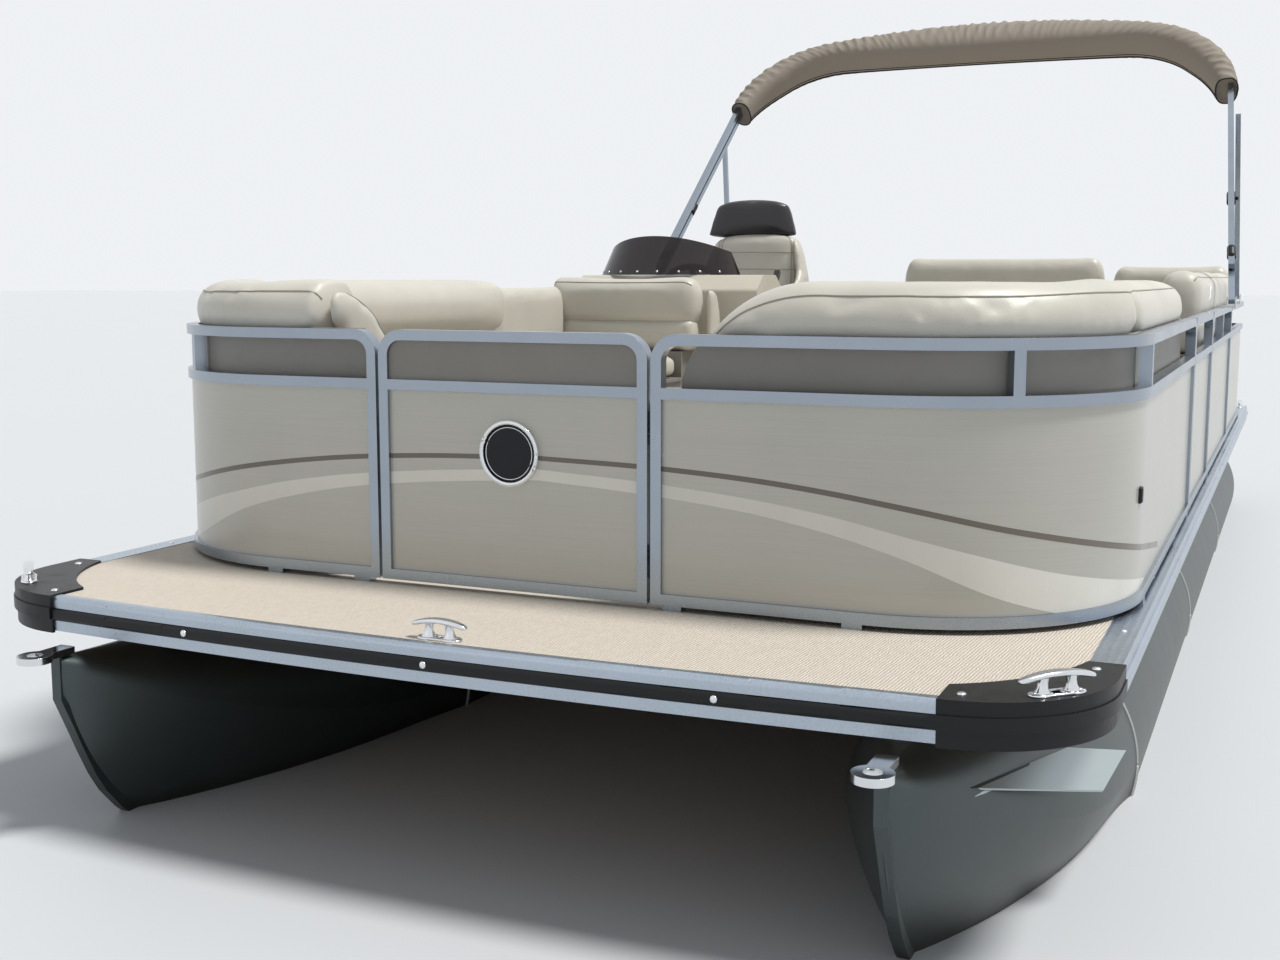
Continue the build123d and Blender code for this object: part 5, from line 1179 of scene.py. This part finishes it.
class BOAT_OT_small_parts(bpy.types.Operator):
    """Screws, latch, side fitting and dials"""

    bl_idname = "boat.small_parts"
    bl_label = "Screws and small fittings"

    def execute(self, context):
        up = (0, 0, 1)
        heads = [dome((x, 0.0322 * x * x - 0.0062, 0.500), (0, -1, 0), 0.008, 0.004) for x in (-0.62, 0.0, 0.62)]
        for side in (-1, 1):
            heads += [dome((side * x, y, CAP_TOP), up, 0.009, 0.004) for x, y in ((1.06, 0.075), (1.255, 0.345))]
            heads.append(dome((side * 1.062, 0.0455, 0.502), (side * 0.13, -0.99, 0), 0.008, 0.004))
            heads += [dome((side * 1.266, y, TRIM_TOP), up, 0.007, 0.003) for y in np.arange(0.7, 6.6, 0.61)]
        for angle in np.linspace(-0.9, 0.9, 8) * 1.1:
            s, c = math.sin(angle), math.cos(angle)
            heads.append(dome((-0.907 + 0.3185 * s, 3.467 - 0.3185 * c, 1.297), (s, -c, 0.25), 0.005, 0.003))
        add_skins("screws", heads, "hull", "bright metal")
        for name, body, low, high, edge in (
            ("side_fitting", "hull", (1.258, 0.930, 0.775), (1.270, 0.958, 0.812), 0.003),
            ("gate_latch", "bow_gate", (0.232, 0.500, 0.955), (0.262, 0.530, 1.005), 0.004),
        ):
            add_skins(name, [slab(low, high, edge)], body, "black rubber", smooth=False)
        normal = np.array((0, 0.5547, 0.8321))
        centre = np.array((-0.825, 3.492, 1.195)) + normal * 0.0083
        bezels, faces = [], []
        for x, size in ((-0.21, 0.030), (-0.09, 0.045), (0.03, 0.045), (0.15, 0.030)):
            rim = [(size, 0), (size, 0.006), (size - 0.004, 0.009), (size - 0.006, 0.006), (0.001, 0.005)]
            bezels.append(turned(rim, centre + [x, 0, 0], normal))
            face = [(size - 0.0065, 0.004), (size - 0.0065, 0.0062), (0.001, 0.0062)]
            faces.append(turned(face, centre + [x, 0, 0], normal))
        add_skins("dial_bezels", bezels, "hull", "bright metal")
        add_skins("dial_faces", faces, "hull", "dial face")
        return {"FINISHED"}


class BOAT_OT_motor_cowl(bpy.types.Operator):
    """Smooth cowl of the outboard motor, with a band along its foot.

    Each ring is a superellipse whose height, shares of width and length and shift aft are eased between rows"""

    bl_idname = "boat.motor_cowl"
    bl_label = "Motor cowl"

    def execute(self, context):
        middle, wide, long_half = 7.240, 0.225, 0.345
        height, width, share, shift = eased([
            (0.641, 0.84, 0.91, 0.0), (0.70, 0.94, 0.965, 0.0), (0.80, 0.985, 0.995, 0.0), (0.92, 0.97, 0.975, -0.004),
            (1.02, 0.90, 0.91, -0.012), (1.085, 0.74, 0.78, -0.022), (1.112, 0.45, 0.50, -0.03),
            (1.120, 0.08, 0.08, -0.035)], 60).T[..., None]
        a, b = squared(circle(72), 0.66)
        rings = joined(width * wide * a, middle + shift + share * long_half * b, height)
        add_skins("motor_cowl_skin", [rings], "motor", "motor paint", "motor_cowl")
        band = tube(looped(joined(0.90 * wide * a, middle + 0.945 * long_half * b, 0.672)), 0.006)
        add_skins("motor_cowl_band", [band], "motor", "black rubber")
        return {"FINISHED"}


def lit(name, kind, energy, place, ahead, **settings):
    """Light at a place that shines ahead."""
    light = bpy.data.lights.new(name, kind)
    light.energy = energy
    for key, value in settings.items():
        setattr(light, key, value)
    lamp = placed(name, light)
    lamp.location = place
    lamp.rotation_mode = "QUATERNION"
    lamp.rotation_quaternion = Vector(ahead).to_track_quat("-Z", "Y")


class BOAT_OT_studio(bpy.types.Operator):
    """Camera, pale floor at the waterline and soft light"""

    bl_idname = "boat.studio"
    bl_label = "Studio"

    def execute(self, context):
        scene, studio = context.scene, chosen()[2]
        yaw, pitch = studio.yaw, studio.pitch
        width, height, sensor = 1280, 960, 36
        ahead = Vector((-math.sin(yaw) * math.cos(pitch), math.cos(yaw) * math.cos(pitch), -math.sin(pitch)))
        right = Vector((math.cos(yaw), math.sin(yaw), 0))
        data = bpy.data.cameras.new("camera")
        data.sensor_width, data.lens = sensor, studio.focal / width * sensor
        data.shift_x = (width / 2 - studio.centre[0]) / width
        data.shift_y = (studio.centre[1] - height / 2) / width
        scene.camera = placed("camera", data)
        turn = Matrix((right, right.cross(ahead), -ahead)).transposed()
        scene.camera.matrix_world = Matrix.Translation(studio.place) @ turn.to_4x4()
        corners = np.array([(-120, -120, 0), (120, -120, 0), (120, 120, 0), (-120, 120, 0)])
        floor = put_mesh("studio_floor", corners, [(0, 1, 2, 3)], False)
        ground = surface("studio ground", studio.ground, 0.6)
        ground.cover(ground.toned(ground.noise(0.4, 2.0), studio.ground, 0.985, 1.01))
        floor.data.materials.append(bpy.data.materials["studio ground"])
        lit("key", "SUN", studio.sun, (0, 0, 0), (-0.42, -0.10, -0.90), angle=math.radians(14),
            color=(1.0, 0.985, 0.96))
        lit("fill", "AREA", 8, (-3.5, -5.5, 3.4), (3.5, 7.0, -2.8), shape="DISK", size=5)
        world = scene.world = bpy.data.worlds.new("studio")
        world.use_nodes = True
        n = Nodes(world.node_tree, sockets=world.node_tree.nodes["Background"].inputs)
        path = n.new("LightPath", {})
        seen = n.sums("MAXIMUM", path["Is Glossy Ray"], path["Is Transmission Ray"])
        seen = n.sums("MAXIMUM", path["Is Camera Ray"], seen)
        n.feed(n.sockets["Color"], n.mixed(seen, (0.92, 0.95, 1.0, 1), (0.86, 0.88, 0.91, 1)))
        n.feed(n.sockets["Strength"], n.ranged(seen, 0, 1, studio.ambient, 1.0))
        scene.view_settings.view_transform = "Standard"
        return {"FINISHED"}


OPERATORS = (
    BOAT_OT_studio, BOAT_OT_finishes, BOAT_OT_rails, BOAT_OT_cushions, BOAT_OT_backs, BOAT_OT_skirts, BOAT_OT_chair,
    BOAT_OT_seam_cords, BOAT_OT_arcs, BOAT_OT_badge, BOAT_OT_boot, BOAT_OT_welds, BOAT_OT_cleats, BOAT_OT_small_parts,
    BOAT_OT_motor_cowl,
)


class BOAT_PT_pieces(bpy.types.Panel):
    bl_label = "Pontoon Boat"
    bl_idname = "BOAT_PT_pieces"
    bl_space_type = "VIEW_3D"
    bl_region_type = "UI"
    bl_category = "Boat"

    def draw(self, context):
        for operator in OPERATORS:
            self.layout.operator(operator.bl_idname)
        for group in chosen():
            for name in group.__annotations__:
                self.layout.prop(group, name)


CLASSES = (BoatColours, BoatSizes, StudioSettings, *OPERATORS, BOAT_PT_pieces)


def register():
    for item in CLASSES:
        bpy.utils.register_class(item)
    bpy.types.Scene.boat_colours = bpy.props.PointerProperty(type=BoatColours)
    bpy.types.Scene.boat_sizes = bpy.props.PointerProperty(type=BoatSizes)
    bpy.types.Scene.boat_studio = bpy.props.PointerProperty(type=StudioSettings)


def unregister():
    for name in ("boat_colours", "boat_sizes", "boat_studio"):
        delattr(bpy.types.Scene, name)
    for item in reversed(CLASSES):
        bpy.utils.unregister_class(item)


def main():
    register()
    for operator in OPERATORS:
        getattr(bpy.ops.boat, operator.bl_idname.split(".")[1])()


if __name__ == "__main__":
    main()
